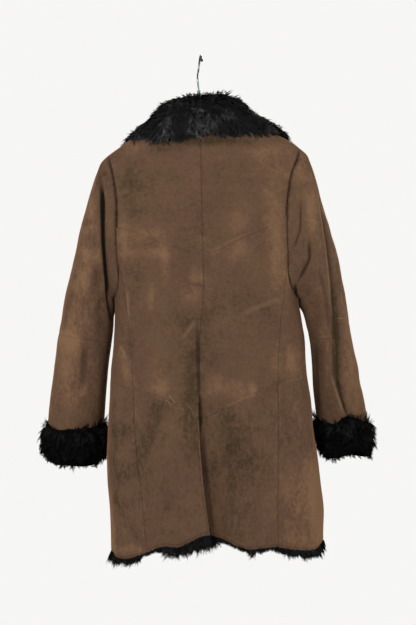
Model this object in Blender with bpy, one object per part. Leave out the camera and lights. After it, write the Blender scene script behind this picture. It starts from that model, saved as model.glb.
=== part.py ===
"""A shearling coat on its hanger: suede side out, black fur at collar, cuffs and hem.

Lengths are in millimetres until make_wall turns them into metres. x runs across the coat, y points
to the wearer's front and z up, from the inside top of the hanger's hook. A drop is a depth below
that point. Every panel is a stretch of one shared surface, so two panels that meet at a seam have
walls with the same slant and a parallel gap between them.
"""

import math

import bmesh
import bpy
from mathutils import Vector

MM = 0.001
LEATHER_WALL = 3.0
SEAM_GAP = 0.35
SURFACE_STEP = 0.001

# Body
BODY_ROUNDNESS = 2.6
SHOULDER_ROUND = 100.0
ARMHOLE_SPLIT_DROP = 422.0
ARMPIT_DROP = 510.0
NECK_ACROSS = 0.38
NECK_BACK = 0.38
NECK_FRONT = 1.02
FRONT_LAP = 0.1
FRONT_LAP_FADE = 0.3
FRONT_LAP_LIFT = 18.0

# Centre-back vent: the left skirt stands proud of the right one and laps over it
VENT_TOP_DROP = 690.0
VENT_FOOT_DROP = 1004.0
VENT_LIFT = 9.0
VENT_RECESS = 24.0
VENT_LAP = 0.14
VENT_SPREAD = 0.42

# Fur
CUFF_CLEARANCE = 0.6
CUFF_TOP_DROP = {"left": 770.0, "right": 757.0}
CUFF_HEIGHT = {"left": 91.0, "right": 87.0}
CUFF_FULLNESS = {"left": 0.9, "right": 0.7}

# Hanger
HANGER_REACH = 0.875
HANGER_HEIGHT = 22.0
HANGER_CLEARANCE = 1.7
HANGER_CROWN = 0.5
HANGER_NECK_HALF = 5.0
HANGER_END_HALF = 19.0
HOOK_WIRE = 4.0
HOOK_INSIDE = 36.0
HOOK_TIP_ANGLE = -58.0
HOOK_TAIL_ANGLE = 150.0
HOOK_TIP_X = 4.6
HOOK_STEM_X = -3.5
HOOK_BALL = 6.6
FERRULE_WIDTH = 7.0
FERRULE_TOP_DROP = 71.0

# Grid counts, in panels and stretches of a panel
YOKE_ROWS = 6
CHEST_ROWS = 2
WAIST_ROWS = 5
SKIRT_ROWS = 7
BACK_COLUMNS = 8
SIDE_COLUMNS = 4
SLEEVE_UPPER_ROWS = 12
SLEEVE_LOWER_ROWS = 6
COLLAR_COLUMNS = 7
HANGER_COLUMNS = 14
HANGER_ROWS = 6
HOOK_STEPS = 18


def table(columns, *rows):
    """Short rows under named columns."""
    return {name: [row[i] for row in rows] for i, name in enumerate(columns.split())}


# The body's outline at each drop: outermost x on both hands, and how far back and front reach
BODY_RINGS = table(
    "drop left right back front",
    (100, -206, 222, 66, 72),
    (200, -212, 229, 70, 78),
    (300, -211, 224, 75, 84),
    (400, -202, 218, 78, 88),
    (460, -189, 211, 79, 89),
    (510, -178, 208, 79, 89),
    (544, -177.5, 213, 79, 89),
    (594, -179.5, 219.5, 79, 89),
    (670, -186, 226, 80, 90),
    (720, -188.5, 234, 82, 92),
    (780, -192, 239, 84, 94),
    (846, -194, 249, 87, 96),
    (897, -192, 255, 89, 98),
    (947, -188, 261, 90, 99),
    (1000, -186, 260, 91, 100),
    (1060, -185, 262, 91, 100),
)
# The seam line that runs down the armhole and on down the side of the back
SIDE_SEAM = table(
    "drop left right",
    (100, -200, 214),
    (206, -192, 208),
    (254, -180, 191),
    (298, -173, 184),
    (382, -172, 181),
    (422, -170, 183),
    (481, -158, 177),
    (565, -146, 168),
    (685, -137, 162),
    (781, -133, 163),
    (920, -118, 162),
    (1050, -105, 162),
)
CENTRE_BACK = table(
    "drop x",
    (100, 2),
    (172, 3),
    (412, 7.5),
    (481, 9.5),
    (578, 2),
    (685, -1),
    (800, 1),
    (930, 13.5),
    (1004, 24),
    (1060, 30),
)
# Heights along the seams: across is 0 at the centre, 1 at the side seam and 2 at the coat's side
SHOULDER_LINE = table(
    "across left right",
    (-0.38, 128, 126),
    (0.0, 106, 106),
    (0.38, 128, 126),
    (0.6, 152, 143),
    (0.82, 185, 170),
    (0.92, 198, 181),
    (1.0, 208, 193),
)
UPPER_V = table(
    "across left right",
    (0.0, 422, 422),
    (0.25, 408, 403),
    (0.5, 392, 382),
    (0.75, 373, 364),
    (1.0, 362, 337),
)
LOWER_V = table(
    "across left right",
    (0.0, 757, 755),
    (0.1, 741, 751),
    (0.35, 727, 731),
    (0.55, 712, 718),
    (0.8, 701, 694),
    (1.0, 695, 681),
    (1.5, 685, 668),
    (2.0, 672, 652),
)
HEM = table(
    "across left right",
    (0.0, 991, 996),
    (0.12, 994, 1000),
    (0.33, 1008, 1013),
    (0.52, 1019, 1022),
    (0.75, 1018, 1021),
    (1.0, 1031, 1020),
    (1.2, 1042, 1026),
    (1.5, 1045, 1028),
    (1.8, 1038, 1021),
    (2.0, 1037, 1014),
)
# Waves of the hem: how far the cloth stands in or out at the foot, fading upwards
HEM_WAVES = table(
    "across left right",
    (0.0, 0, 0),
    (0.3, 0, 0),
    (0.6, -7, 4),
    (1.0, 1, -2),
    (1.4, 7, 4),
    (1.8, -2, -4),
    (2.0, 0, 0),
)
HEM_WAVE_TOP = 760.0

# Sleeves: outline seen from the back at each section. "along" is the outer edge's drop.
SLEEVE_SECTIONS = {
    "left": table(
        "along outer inner inner_drop middle depth",
        (206, -192, -178.5, 510, 0, 50),
        (217, -203.5, -180, 509, 0, 52),
        (242, -215, -181, 509, 0, 55),
        (280, -228, -181.5, 511, 1, 58),
        (342, -244.5, -182, 516, 3, 61),
        (418, -263, -182, 525, 7, 62),
        (493, -280, -181.5, 543, 13, 61),
        (544, -289, -181, 562, 18, 60),
        (594, -299, -185, 597, 23, 58),
        (645, -306, -192, 645, 30, 56),
        (695, -313, -197, 695, 38, 54),
        (745, -320, -201, 745, 47, 52),
        (800, -325, -205, 800, 57, 51),
        (850, -326, -208, 850, 64, 51),
    ),
    "right": table(
        "along outer inner inner_drop middle depth",
        (193, 209, 208.5, 510, 0, 50),
        (203, 221, 210, 509, 0, 52),
        (224, 232, 211, 509, 0, 55),
        (267, 247, 212, 511, 1, 58),
        (342, 270, 213, 516, 3, 61),
        (418, 289, 215, 525, 7, 62),
        (493, 303, 220, 543, 13, 61),
        (544, 312, 225, 562, 18, 60),
        (594, 322, 233, 597, 23, 58),
        (645, 334, 238, 645, 30, 56),
        (695, 343, 241, 695, 38, 54),
        (745, 354, 247, 745, 47, 52),
        (800, 362, 255, 800, 57, 51),
        (834, 364, 260, 834, 62, 51),
    ),
}
# How far the outer sleeve seam has turned to the back, in degrees
SLEEVE_TURN = table(
    "along left right",
    (193, 0, 0),
    (254, -4, 14),
    (370, -10, 50),
    (470, -12, 60),
    (594, -12, 80),
    (690, -10, 92),
    (770, -10, 78),
    (845, -8, 74),
)
# Where each half (-1 back, 1 front) is cut across at the elbow: at the outer seam and at the armpit's
ELBOW = {"left": {-1: (578, 602), 1: (578, 602)}, "right": {-1: (588, 588), 1: (556, 570)}}
# Lengthwise folds of the sleeves, placed by the turn around the sleeve (0 outer edge, 1 armpit)
SLEEVE_FOLDS = {
    "left": table(
        "start end start_turn end_turn width depth",
        (250, 540, 0.5, 0.78, 0.17, 13),
        (590, 780, 0.5, 0.56, 0.16, 4),
    ),
    "right": table(
        "start end start_turn end_turn width depth",
        (300, 560, 0.75, 0.56, 0.17, 8),
        (600, 790, 0.6, 0.45, 0.17, 5),
    ),
}
ARMHOLE_FADE = 120.0
FOLD_SEAM_FADE = 0.16

# Collar: the outer edge at each turn from the centre back (0) to the centre front (180 degrees)
COLLAR_EDGE = table(
    "turn across_left drop_left across_right drop_right",
    (0, 0.0, 184, 0.0, 184),
    (30, 0.36, 191, 0.36, 184),
    (55, 0.62, 187, 0.66, 180),
    (75, 0.75, 184, 0.84, 180),
    (90, 0.79, 178, 0.88, 175),
    (110, 0.77, 198, 0.84, 198),
    (135, 0.62, 238, 0.64, 236),
    (158, 0.36, 300, 0.38, 300),
    (172, 0.1, 350, 0.12, 350),
)
COLLAR_END_TURN = 172.0
# The fur from the neck seam (0) to the collar's edge (1): its height, how far it leans from upright
# to square off the cloth, and the space under it
COLLAR_FUR = table(
    "out back side_left side_right front lean under",
    (0.0, 41, 29, 38, 24, 0.0, 0.8),
    (0.1, 43, 24, 29, 26, 0.1, 1.5),
    (0.25, 31, 15, 18, 25, 0.3, 2.2),
    (0.45, 24, 7, 11, 22, 0.6, 2.6),
    (0.7, 21, 6, 11, 19, 0.9, 2.6),
    (0.9, 15, 4, 7, 14, 1.0, 2.4),
    (1.0, 5, 2, 3, 6, 1.0, 1.8),
)
# Cuff fur: share of the height down, and how far it stands off the sleeve
CUFF_FUR = table(
    "down out",
    (0.0, 3),
    (0.1, 10),
    (0.35, 17),
    (0.65, 19),
    (0.9, 13),
    (1.0, 4),
)
# The fur is flattened where the cuff hangs behind the body
CUFF_SQUASH = table("turn share", (-1.0, 0.25), (-0.6, 0.7), (0.0, 1.0), (0.6, 0.7), (1.0, 0.25))
# Hem wool: depth below the leather's edge, and the offsets of its outer and inner face
HEM_WOOL = table(
    "below outer inner",
    (-16, -4.2, -11),
    (0.6, -3.6, -13),
    (1.8, -1, -13.5),
    (9, 2, -13),
    (17, 0, -10.5),
    (21, -3, -7),
)
WOOL_SHARE = table(
    "across left right",
    (0.0, 1.4, 1.0),
    (0.3, 1.2, 0.55),
    (0.6, 0.8, 0.6),
    (1.0, 0.5, 0.5),
    (1.3, 0.4, 0.7),
    (1.7, 0.9, 0.8),
    (2.0, 1.2, 0.8),
)

SUEDE = ("Suede", (0.105, 0.058, 0.034), 0.95, 0.0)
FUR = ("Fur", (0.008, 0.008, 0.009), 0.9, 0.0)
HANGER = ("HangerPlastic", (0.02, 0.02, 0.021), 0.45, 0.0)
STEEL = ("Steel", (0.45, 0.46, 0.47), 0.3, 1.0)


def lerp(start, end, share):
    return start + (end - start) * share


def smooth_share(value):
    """0 below 0, 1 above 1 and an even bend between."""
    value = min(1.0, max(0.0, value))
    return value * value * (3 - 2 * value)


def curve_slope(keys, values, i):
    """Slope of the curve at row i, from the rows beside it."""
    last = len(keys) - 1
    before = after = None
    if i > 0:
        before = (values[i] - values[i - 1]) / (keys[i] - keys[i - 1])
    if i < last:
        after = (values[i + 1] - values[i]) / (keys[i + 1] - keys[i])
    if before is None:
        return after
    if after is None:
        return before
    wide = keys[i + 1] - keys[i - 1]
    return (before * (keys[i + 1] - keys[i]) + after * (keys[i] - keys[i - 1])) / wide


def read(rows, key, column, at):
    """One column as a smooth curve over the key column, straight on past its ends."""
    keys, values = rows[key], rows[column]
    if at <= keys[0]:
        return values[0] + (at - keys[0]) * curve_slope(keys, values, 0)
    if at >= keys[-1]:
        return values[-1] + (at - keys[-1]) * curve_slope(keys, values, len(keys) - 1)
    i = max(k for k in range(len(keys) - 1) if keys[k] <= at)
    wide = keys[i + 1] - keys[i]
    t = (at - keys[i]) / wide
    start = values[i] * (2 * t**3 - 3 * t**2 + 1) + values[i + 1] * (3 * t**2 - 2 * t**3)
    lean = curve_slope(keys, values, i) * (t**3 - 2 * t**2 + t)
    lean += curve_slope(keys, values, i + 1) * (t**3 - t**2)
    return start + lean * wide


def hand_of(across):
    return "left" if across < 0 else "right"


def shoulder_drop(across):
    """Drop of the shoulder line, level past the armhole."""
    return read(SHOULDER_LINE, "across", hand_of(across), min(1.0, abs(across)))


def roof_fall(down):
    """Fall below the shoulder line, and share of the full depth, at a place down the panel."""
    if down <= 1:
        angle = down * math.pi / 2
        return SHOULDER_ROUND * (1 - math.cos(angle)), math.sin(angle)
    return SHOULDER_ROUND * (1 + (down - 1) * math.pi / 2), 1.0


def place_down(across, drop):
    """The place down the panel that lies at this drop. It is the inverse of roof_fall."""
    fall = max(0.0, drop - shoulder_drop(across))
    if fall < SHOULDER_ROUND:
        return math.acos(1 - fall / SHOULDER_ROUND) / (math.pi / 2)
    return 1 + (fall / SHOULDER_ROUND - 1) / (math.pi / 2)


def body_point(across, face, down):
    """The coat's outer surface. face is -1 on the back and 1 on the front."""
    hand = hand_of(across)
    share = min(2.0, abs(across))
    fall, reach = roof_fall(max(0.0, down))
    drop = shoulder_drop(across) + fall
    left = read(BODY_RINGS, "drop", "left", drop)
    right = read(BODY_RINGS, "drop", "right", drop)
    depth = read(BODY_RINGS, "drop", "back" if face < 0 else "front", drop)
    middle, half = (left + right) / 2, (right - left) / 2
    seam = read(SIDE_SEAM, "drop", hand, drop)
    if share <= 1:
        x = lerp(read(CENTRE_BACK, "drop", "x", drop), seam, share)
        out = min(1.0, abs(x - middle) / half)
        y = (1 - out**BODY_ROUNDNESS) ** (1 / BODY_ROUNDNESS)
    else:
        seam_angle = math.asin(min(1.0, abs(seam - middle) / half) ** (BODY_ROUNDNESS / 2))
        angle = lerp(seam_angle, math.pi / 2, share - 1)
        x = middle + math.copysign(half, across) * math.sin(angle) ** (2 / BODY_ROUNDNESS)
        y = max(0.0, math.cos(angle)) ** (2 / BODY_ROUNDNESS)
    return Vector((x, face * depth * reach * y, -drop))


def body_normal(across, face, down):
    """Outward direction of the coat's surface."""
    low = max(-2.0, across - SURFACE_STEP)
    high = min(2.0, across + SURFACE_STEP)
    sideways = body_point(high, face, down) - body_point(low, face, down)
    up = max(0.0, down - SURFACE_STEP)
    downwards = body_point(across, face, down + SURFACE_STEP) - body_point(across, face, up)
    return (face * sideways.cross(downwards)).normalized()


def vent_lift(across, drop, lapped):
    """How far the back's skirt stands proud of the shared surface beside the vent."""
    foot = smooth_share((drop - VENT_TOP_DROP) / (VENT_FOOT_DROP - VENT_TOP_DROP))
    start = min(1.0, max(0.0, (drop - VENT_TOP_DROP) / 60))
    near = 1 - smooth_share(abs(across) / VENT_SPREAD)
    if lapped:
        near = 1 - smooth_share(across / VENT_SPREAD)
        return -near * start * lerp(4.0, VENT_RECESS, foot)
    return near * start * lerp(1.5, VENT_LIFT, foot)


def hem_wave(across, drop):
    foot = smooth_share((drop - HEM_WAVE_TOP) / (1040 - HEM_WAVE_TOP))
    return foot * read(HEM_WAVES, "across", hand_of(across), abs(across))


def back_lift(across, drop, lapped):
    return vent_lift(across, drop, lapped) + hem_wave(across, drop)


def front_lift(across, drop, lapped):
    """The right front lies over the left one at the centre."""
    near = 1 - smooth_share((abs(across) - FRONT_LAP) / FRONT_LAP_FADE)
    return hem_wave(across, drop) * 0.6 + near * (-FRONT_LAP_LIFT if lapped else FRONT_LAP_LIFT) / 2


def neck_down(across, face):
    """Where the body begins: at the neck seam, and past it at the shoulder line."""
    near = 1 - (across / NECK_ACROSS) ** 2
    return (NECK_BACK if face < 0 else NECK_FRONT) * math.sqrt(max(0.0, near))


def seam_down(seam, across):
    return place_down(across, read(seam, "across", hand_of(across), abs(across)))


def split_down(across):
    """The row of the back that meets the foot of the armhole's straight stretch."""
    hand = math.copysign(1.0, across)
    top, foot = seam_down(UPPER_V, hand), seam_down(LOWER_V, hand)
    share = (place_down(hand, ARMHOLE_SPLIT_DROP) - top) / (foot - top)
    return lerp(seam_down(UPPER_V, across), seam_down(LOWER_V, across), share)


def armhole_turn(share):
    """The armhole's curved foot, from the side seam (0) to the armpit (1): side share and drop."""
    angle = share * math.pi / 2
    drop = lerp(ARMHOLE_SPLIT_DROP, ARMPIT_DROP, math.sin(angle))
    return 1 - math.cos(angle), drop


def hole_rows(hand):
    """(across, down) at each row of the armhole, from the shoulder to the armpit."""
    one = -1.0 if hand == "left" else 1.0
    top, split = seam_down(UPPER_V, one), split_down(one)
    rows = [(one, top * r / YOKE_ROWS) for r in range(YOKE_ROWS)]
    rows += [(one, lerp(top, split, r / CHEST_ROWS)) for r in range(CHEST_ROWS)]
    for column in range(SIDE_COLUMNS + 1):
        beside, drop = armhole_turn(column / SIDE_COLUMNS)
        across = one * (1 + beside)
        rows.append((across, place_down(across, drop)))
    return rows


def drop_rows(hand):
    """(across, down) at each row of the coat's side, from below the armpit to the hem."""
    side = -2.0 if hand == "left" else 2.0
    top = place_down(side, ARMPIT_DROP)
    waist, foot = seam_down(LOWER_V, side), seam_down(HEM, side)
    rows = [(side, lerp(top, waist, r / WAIST_ROWS)) for r in range(1, WAIST_ROWS)]
    rows += [(side, lerp(waist, foot, r / SKIRT_ROWS)) for r in range(SKIRT_ROWS + 1)]
    return rows


def nudge_borders(points):
    """Moves each border point half a seam gap into its panel. Returns the moves."""
    rows, columns = len(points), len(points[0])
    moves = [[Vector((0, 0, 0)) for _ in range(columns)] for _ in range(rows)]
    for i in range(rows):
        for j in range(columns):
            if i in (0, rows - 1):
                inward = points[1 if i == 0 else rows - 2][j] - points[i][j]
                moves[i][j] += inward.normalized() * SEAM_GAP / 2
            if j in (0, columns - 1):
                inward = points[i][1 if j == 0 else columns - 2] - points[i][j]
                moves[i][j] += inward.normalized() * SEAM_GAP / 2
    return moves


def make_material(finish):
    name, colour, roughness, metallic = finish
    material = bpy.data.materials.get(name)
    if material is None:
        material = bpy.data.materials.new(name)
        material.use_nodes = True
        shader = material.node_tree.nodes["Principled BSDF"]
        shader.inputs["Base Color"].default_value = (*colour, 1.0)
        shader.inputs["Roughness"].default_value = roughness
        shader.inputs["Metallic"].default_value = metallic
        material.diffuse_color = (*colour, 1.0)
    return material


def keep_object(obj, finish):
    """Moves a new object into the coat's collection and gives it its finish."""
    for holder in list(obj.users_collection):
        holder.objects.unlink(obj)
    bpy.data.collections["ShearlingCoat"].objects.link(obj)
    obj.data.materials.clear()
    obj.data.materials.append(make_material(finish))
    return obj


def make_wall(name, outer, inner, finish):
    """A closed wall between two grids of points: a flat grid, thickened, and bent into place."""
    rows, columns = len(outer) - 1, len(outer[0]) - 1
    shape = bmesh.new()
    bmesh.ops.create_grid(shape, x_segments=columns, y_segments=rows, size=0.5)
    for vertex in shape.verts:
        vertex.co.z = 0.0
    made = bmesh.ops.extrude_face_region(shape, geom=shape.faces[:], use_keep_orig=True)
    for item in made["geom"]:
        if isinstance(item, bmesh.types.BMVert):
            item.co.z = 1.0
    for vertex in shape.verts:
        column = round((vertex.co.x + 0.5) * columns)
        row = round((vertex.co.y + 0.5) * rows)
        layer = outer if vertex.co.z < 0.5 else inner
        vertex.co = layer[row][column] * MM
    bmesh.ops.recalc_face_normals(shape, faces=shape.faces[:])
    bmesh.ops.triangulate(shape, faces=shape.faces[:], quad_method="SHORT_EDGE")
    mesh = bpy.data.meshes.new(name)
    shape.to_mesh(mesh)
    shape.free()
    mesh.shade_smooth()
    mesh.set_sharp_from_angle(angle=math.radians(50))
    return keep_object(bpy.data.objects.new(name, mesh), finish)


def make_body_panel(name, places, face, lift):
    """A suede panel from its grid of (across, down) places. lift(across, drop) shapes its folds."""
    base = [[body_point(across, face, down) for across, down in row] for row in places]
    out = [[body_normal(across, face, down) for across, down in row] for row in places]
    moves = nudge_borders(base)
    outer, inner = [], []
    for i, row in enumerate(places):
        outer.append([])
        inner.append([])
        for j, (across, _) in enumerate(row):
            raised = lift(across, -base[i][j].z)
            place = base[i][j] + moves[i][j] + out[i][j] * raised
            outer[i].append(place)
            inner[i].append(place - out[i][j] * LEATHER_WALL)
    return make_wall(name, outer, inner, SUEDE)


def back_columns(hand, start=0.0):
    """Lateral places of the back's middle panels, from the centre to the side seam."""
    one = -1.0 if hand == "left" else 1.0
    return [lerp(start, one, j / BACK_COLUMNS) for j in range(BACK_COLUMNS + 1)]


def make_back(hand):
    """Yoke, middle, skirt and side-back panels of one hand."""
    one = -1.0 if hand == "left" else 1.0
    lapped = hand == "right"

    def lift(across, drop):
        return back_lift(across, drop, lapped)

    columns = back_columns(hand)
    stretches = {
        "back_yoke": [(lambda c: neck_down(c, -1), lambda c: seam_down(UPPER_V, c), YOKE_ROWS)],
        "back_middle": [
            (lambda c: seam_down(UPPER_V, c), split_down, CHEST_ROWS),
            (split_down, lambda c: seam_down(LOWER_V, c), WAIST_ROWS),
        ],
    }
    for name, parts in stretches.items():
        places = []
        for top, foot, count in parts:
            first = 1 if places else 0
            for r in range(first, count + 1):
                places.append([(c, lerp(top(c), foot(c), r / count)) for c in columns])
        make_body_panel(f"{name}_{hand}", places, -1, lift)

    make_body_panel(f"back_skirt_{hand}", skirt_places(hand), -1, lift)
    upper, lower = side_places(hand)
    make_body_panel(f"side_back_upper_{hand}", upper, -1, lift)
    make_body_panel(f"side_back_lower_{hand}", lower, -1, lift)


def skirt_places(hand):
    """The skirt's grid. The right skirt runs on under the left one below the lower V seam."""
    places = []
    for r in range(SKIRT_ROWS + 1):
        lap = 0.0
        if hand == "right" and r > 0:
            lap = -VENT_LAP * lerp(0.35, 1.0, r / SKIRT_ROWS)
        row = []
        for c in back_columns(hand, lap):
            row.append((c, lerp(seam_down(LOWER_V, c), seam_down(HEM, c), r / SKIRT_ROWS)))
        places.append(row)
    return places


def side_places(hand):
    """Grids of the upper and the lower side-back panel."""
    one = -1.0 if hand == "left" else 1.0
    turns = [armhole_turn(j / SIDE_COLUMNS) for j in range(SIDE_COLUMNS + 1)]
    upper, lower = [], []
    for r in range(WAIST_ROWS + 1):
        upper.append([])
        for beside, drop in turns:
            c = one * (1 + beside)
            top, foot = place_down(c, drop), seam_down(LOWER_V, c)
            upper[r].append((c, lerp(top, foot, r / WAIST_ROWS)))
    for r in range(SKIRT_ROWS + 1):
        lower.append([])
        for beside, _ in turns:
            c = one * (1 + beside)
            lower[r].append((c, lerp(seam_down(LOWER_V, c), seam_down(HEM, c), r / SKIRT_ROWS)))
    return upper, lower


def front_places(hand):
    """A front's grid, whose outer column follows the armhole and then the coat's side."""
    one = -1.0 if hand == "left" else 1.0
    start = -one * FRONT_LAP
    outline = hole_rows(hand) + drop_rows(hand)
    places = []
    for r, (across_end, down_end) in enumerate(outline):
        share_end = down_end / seam_down(HEM, across_end)
        share_start = r / (len(outline) - 1)
        row = []
        for j in range(BACK_COLUMNS + 1):
            aside = j / BACK_COLUMNS
            c = lerp(start, one, aside) + (across_end - one) * aside**4
            share = lerp(share_start, share_end, aside * aside)
            row.append((c, lerp(neck_down(c, 1), seam_down(HEM, c), share)))
        places.append(row)
    return places


def make_front(hand):
    lapped = hand == "left"
    make_body_panel(f"front_{hand}", front_places(hand), 1, lambda c, d: front_lift(c, d, lapped))


def armhole_ring(hand):
    """The armhole as a closed curve: turn -1 to 0 up the back, 0 to 1 down the front."""
    sides = {}
    for face in (-1, 1):
        rows = hole_rows(hand)
        points = [body_point(across, face, down) for across, down in rows]
        outs = [body_normal(across, face, down) for across, down in rows]
        lengths = [0.0]
        for first, second in zip(points, points[1:]):
            lengths.append(lengths[-1] + (second - first).length)
        turns = [length / lengths[-1] for length in lengths]
        sides[face] = list(zip(turns, points, outs))
    loop = [(-turn, point, out) for turn, point, out in reversed(sides[-1])]
    loop += sides[1][1:]
    before = [(turn - 2, point, out) for turn, point, out in loop[-3:-1]]
    after = [(turn + 2, point, out) for turn, point, out in loop[1:3]]
    names = "turn x y z out_x out_y out_z"
    return table(names, *[(turn, *point, *out) for turn, point, out in before + loop + after])


def sleeve_point(hand, ring, turn, along):
    """The sleeve's outer surface. turn is 0 at the outer seam, -1 and 1 at the armpit."""
    sections = SLEEVE_SECTIONS[hand]
    start = sections["along"][0]
    twist = math.radians(read(SLEEVE_TURN, "along", hand, along))
    if turn < 0:
        angle = -twist + (math.pi - twist) * turn
    else:
        angle = -twist + (math.pi + twist) * turn

    def section_point(at, angle):
        outer_x = read(sections, "along", "outer", at)
        inner_x = read(sections, "along", "inner", at)
        inner_drop = read(sections, "along", "inner_drop", at)
        swing = (1 + math.cos(angle)) / 2
        y = read(sections, "along", "middle", at)
        y += read(sections, "along", "depth", at) * math.sin(angle)
        return Vector((lerp(inner_x, outer_x, swing), y, -lerp(inner_drop, at, swing)))

    place = section_point(along, angle)
    fade = max(0.0, 1 - (along - start) / ARMHOLE_FADE)
    if fade > 0:
        hole = Vector([read(ring, "turn", axis, turn) for axis in "xyz"])
        place += (hole - section_point(start, math.pi * turn)) * fade * fade
    return place


def sleeve_normal(hand, ring, turn, along):
    """Outward direction, taken from the body at the armhole and from the sleeve further down."""
    start = SLEEVE_SECTIONS[hand]["along"][0]
    low, high = turn - SURFACE_STEP, turn + SURFACE_STEP
    around = sleeve_point(hand, ring, high, along) - sleeve_point(hand, ring, low, along)
    if turn <= -1 or turn >= 1:
        inside = 1 - SURFACE_STEP
        around = sleeve_point(hand, ring, -inside, along) - sleeve_point(hand, ring, inside, along)
    up = max(start, along - SURFACE_STEP)
    down = sleeve_point(hand, ring, turn, along + SURFACE_STEP)
    down = down - sleeve_point(hand, ring, turn, up)
    return around.cross(down).normalized() * (1 if hand == "left" else -1)


def sleeve_fold(hand, turn, along):
    """Depth of the lengthwise folds at this place."""
    folds = SLEEVE_FOLDS[hand]
    depth = 0.0
    for i in range(len(folds["start"])):
        share = (along - folds["start"][i]) / (folds["end"][i] - folds["start"][i])
        if not 0 < share < 1:
            continue
        centre = lerp(folds["start_turn"][i], folds["end_turn"][i], share)
        aside = (abs(turn) - centre) / folds["width"][i]
        depth += folds["depth"][i] * math.exp(-aside * aside) * math.sin(math.pi * share) ** 0.7
    beside_seam = min(abs(turn), 1 - abs(turn))
    return depth * smooth_share(beside_seam / FOLD_SEAM_FADE)


def sleeve_rows(hand):
    """Rows from the armhole to the sleeve's end, shared by both halves, as drops at the outer seam
    and at the armpit, with the row where each half is cut at the elbow."""
    sections = SLEEVE_SECTIONS[hand]["along"]
    start, end = sections[0], sections[-1]
    back, front = ELBOW[hand][-1], ELBOW[hand][1]
    rows = []
    for r in range(SLEEVE_UPPER_ROWS + 1):
        share = (r / SLEEVE_UPPER_ROWS) ** 1.35
        rows.append([lerp(start, elbow, share) for elbow in front])
    cut = {1: len(rows) - 1}
    if back != front:
        rows.append(list(back))
    cut[-1] = len(rows) - 1
    for r in range(1, SLEEVE_LOWER_ROWS + 1):
        rows.append([lerp(elbow, end, r / SLEEVE_LOWER_ROWS) for elbow in back])
    return rows, cut


def make_sleeve(hand):
    """Back and front half of a sleeve, each cut across at the elbow."""
    ring = armhole_ring(hand)
    rows, cut = sleeve_rows(hand)
    for face, side in ((-1, "back"), (1, "front")):
        turns = sorted([turn for turn in ring["turn"] if 0 <= turn * face <= 1], key=abs)
        places = [[(turn, lerp(*row, abs(turn))) for turn in turns] for row in rows]
        make_sleeve_panel(f"sleeve_{side}_upper_{hand}", hand, ring, places[: cut[face] + 1])
        make_sleeve_panel(f"sleeve_{side}_lower_{hand}", hand, ring, places[cut[face] :])


def make_sleeve_panel(name, hand, ring, places):
    start = SLEEVE_SECTIONS[hand]["along"][0]
    base = [[sleeve_point(hand, ring, turn, along) for turn, along in row] for row in places]
    moves = nudge_borders(base)
    outer, inner = [], []
    for i, row in enumerate(places):
        outer.append([])
        inner.append([])
        for j, (turn, along) in enumerate(row):
            out = sleeve_normal(hand, ring, turn, along)
            if along == start:
                out = Vector([read(ring, "turn", "out_" + axis, turn) for axis in "xyz"])
            fold = sleeve_fold(hand, turn, along) if turn < 0 else 0.0
            place = base[i][j] + moves[i][j] - out * fold
            outer[i].append(place)
            inner[i].append(place - out * LEATHER_WALL)
    make_wall(name, outer, inner, SUEDE)


def make_cuff(hand):
    """Turned-back fur cuff: a strip round the sleeve's end, closed at the armpit side."""
    ring = armhole_ring(hand)
    turns = [turn for turn in ring["turn"] if -1 <= turn <= 1]
    outer, inner = [], []
    downs = CUFF_FUR["down"]
    for i, down in enumerate(downs):
        outer.append([])
        inner.append([])
        along = CUFF_TOP_DROP[hand] + CUFF_HEIGHT[hand] * down
        for turn in turns:
            out = sleeve_normal(hand, ring, turn, along)
            place = sleeve_point(hand, ring, turn, along)
            height = CUFF_FUR["out"][i] * read(CUFF_SQUASH, "turn", "share", turn)
            height *= CUFF_FULLNESS[hand]
            outer[i].append(place + out * (CUFF_CLEARANCE + height))
            inner[i].append(place + out * CUFF_CLEARANCE)
    for row in (*outer, *inner):
        row[0] += (row[1] - row[0]).normalized() * SEAM_GAP / 2
        row[-1] += (row[-2] - row[-1]).normalized() * SEAM_GAP / 2
    make_wall(f"cuff_fur_{hand}", outer, inner, FUR)


def make_collar(hand):
    """Fur collar of one hand, laid over the shoulder from the neck seam to its edge."""
    one = -1.0 if hand == "left" else 1.0
    shares = [j / COLLAR_COLUMNS for j in range(COLLAR_COLUMNS + 1)]
    turns = [lerp(90, 0, share**1.4) for share in reversed(shares)]
    turns += [lerp(90, COLLAR_END_TURN, share**1.4) for share in shares[1:]]
    outer, inner = [], []
    outs = COLLAR_FUR["out"]
    for i, out_share in enumerate(outs):
        outer.append([])
        inner.append([])
        for turn in turns:
            face = -1 if turn <= 90 else 1
            neck_across = NECK_ACROSS * math.sin(math.radians(turn))
            edge_across = read(COLLAR_EDGE, "turn", "across_" + hand, turn)
            edge_drop = read(COLLAR_EDGE, "turn", "drop_" + hand, turn)
            across = one * max(0.0, lerp(neck_across, edge_across, out_share))
            edge_down = place_down(one * edge_across, edge_drop)
            down = lerp(neck_down(one * neck_across, face), edge_down, out_share)
            normal = body_normal(across, face, down)
            lean = lerp(Vector((0, 0, 1)), normal, COLLAR_FUR["lean"][i]).normalized()
            side_share = math.sin(math.radians(turn)) ** 2
            end = "back" if turn <= 90 else "front"
            height = lerp(COLLAR_FUR[end][i], COLLAR_FUR["side_" + hand][i], side_share)
            under = COLLAR_FUR["under"][i]
            if face > 0:
                under += front_lift(across, 0, False)
            place = body_point(across, face, down) + normal * under
            outer[i].append(place + lean * height)
            inner[i].append(place)
    for row in (*outer, *inner):
        row[0] += Vector((one, 0, 0)) * SEAM_GAP / 2
    make_wall(f"collar_fur_{hand}", outer, inner, FUR)


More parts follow.
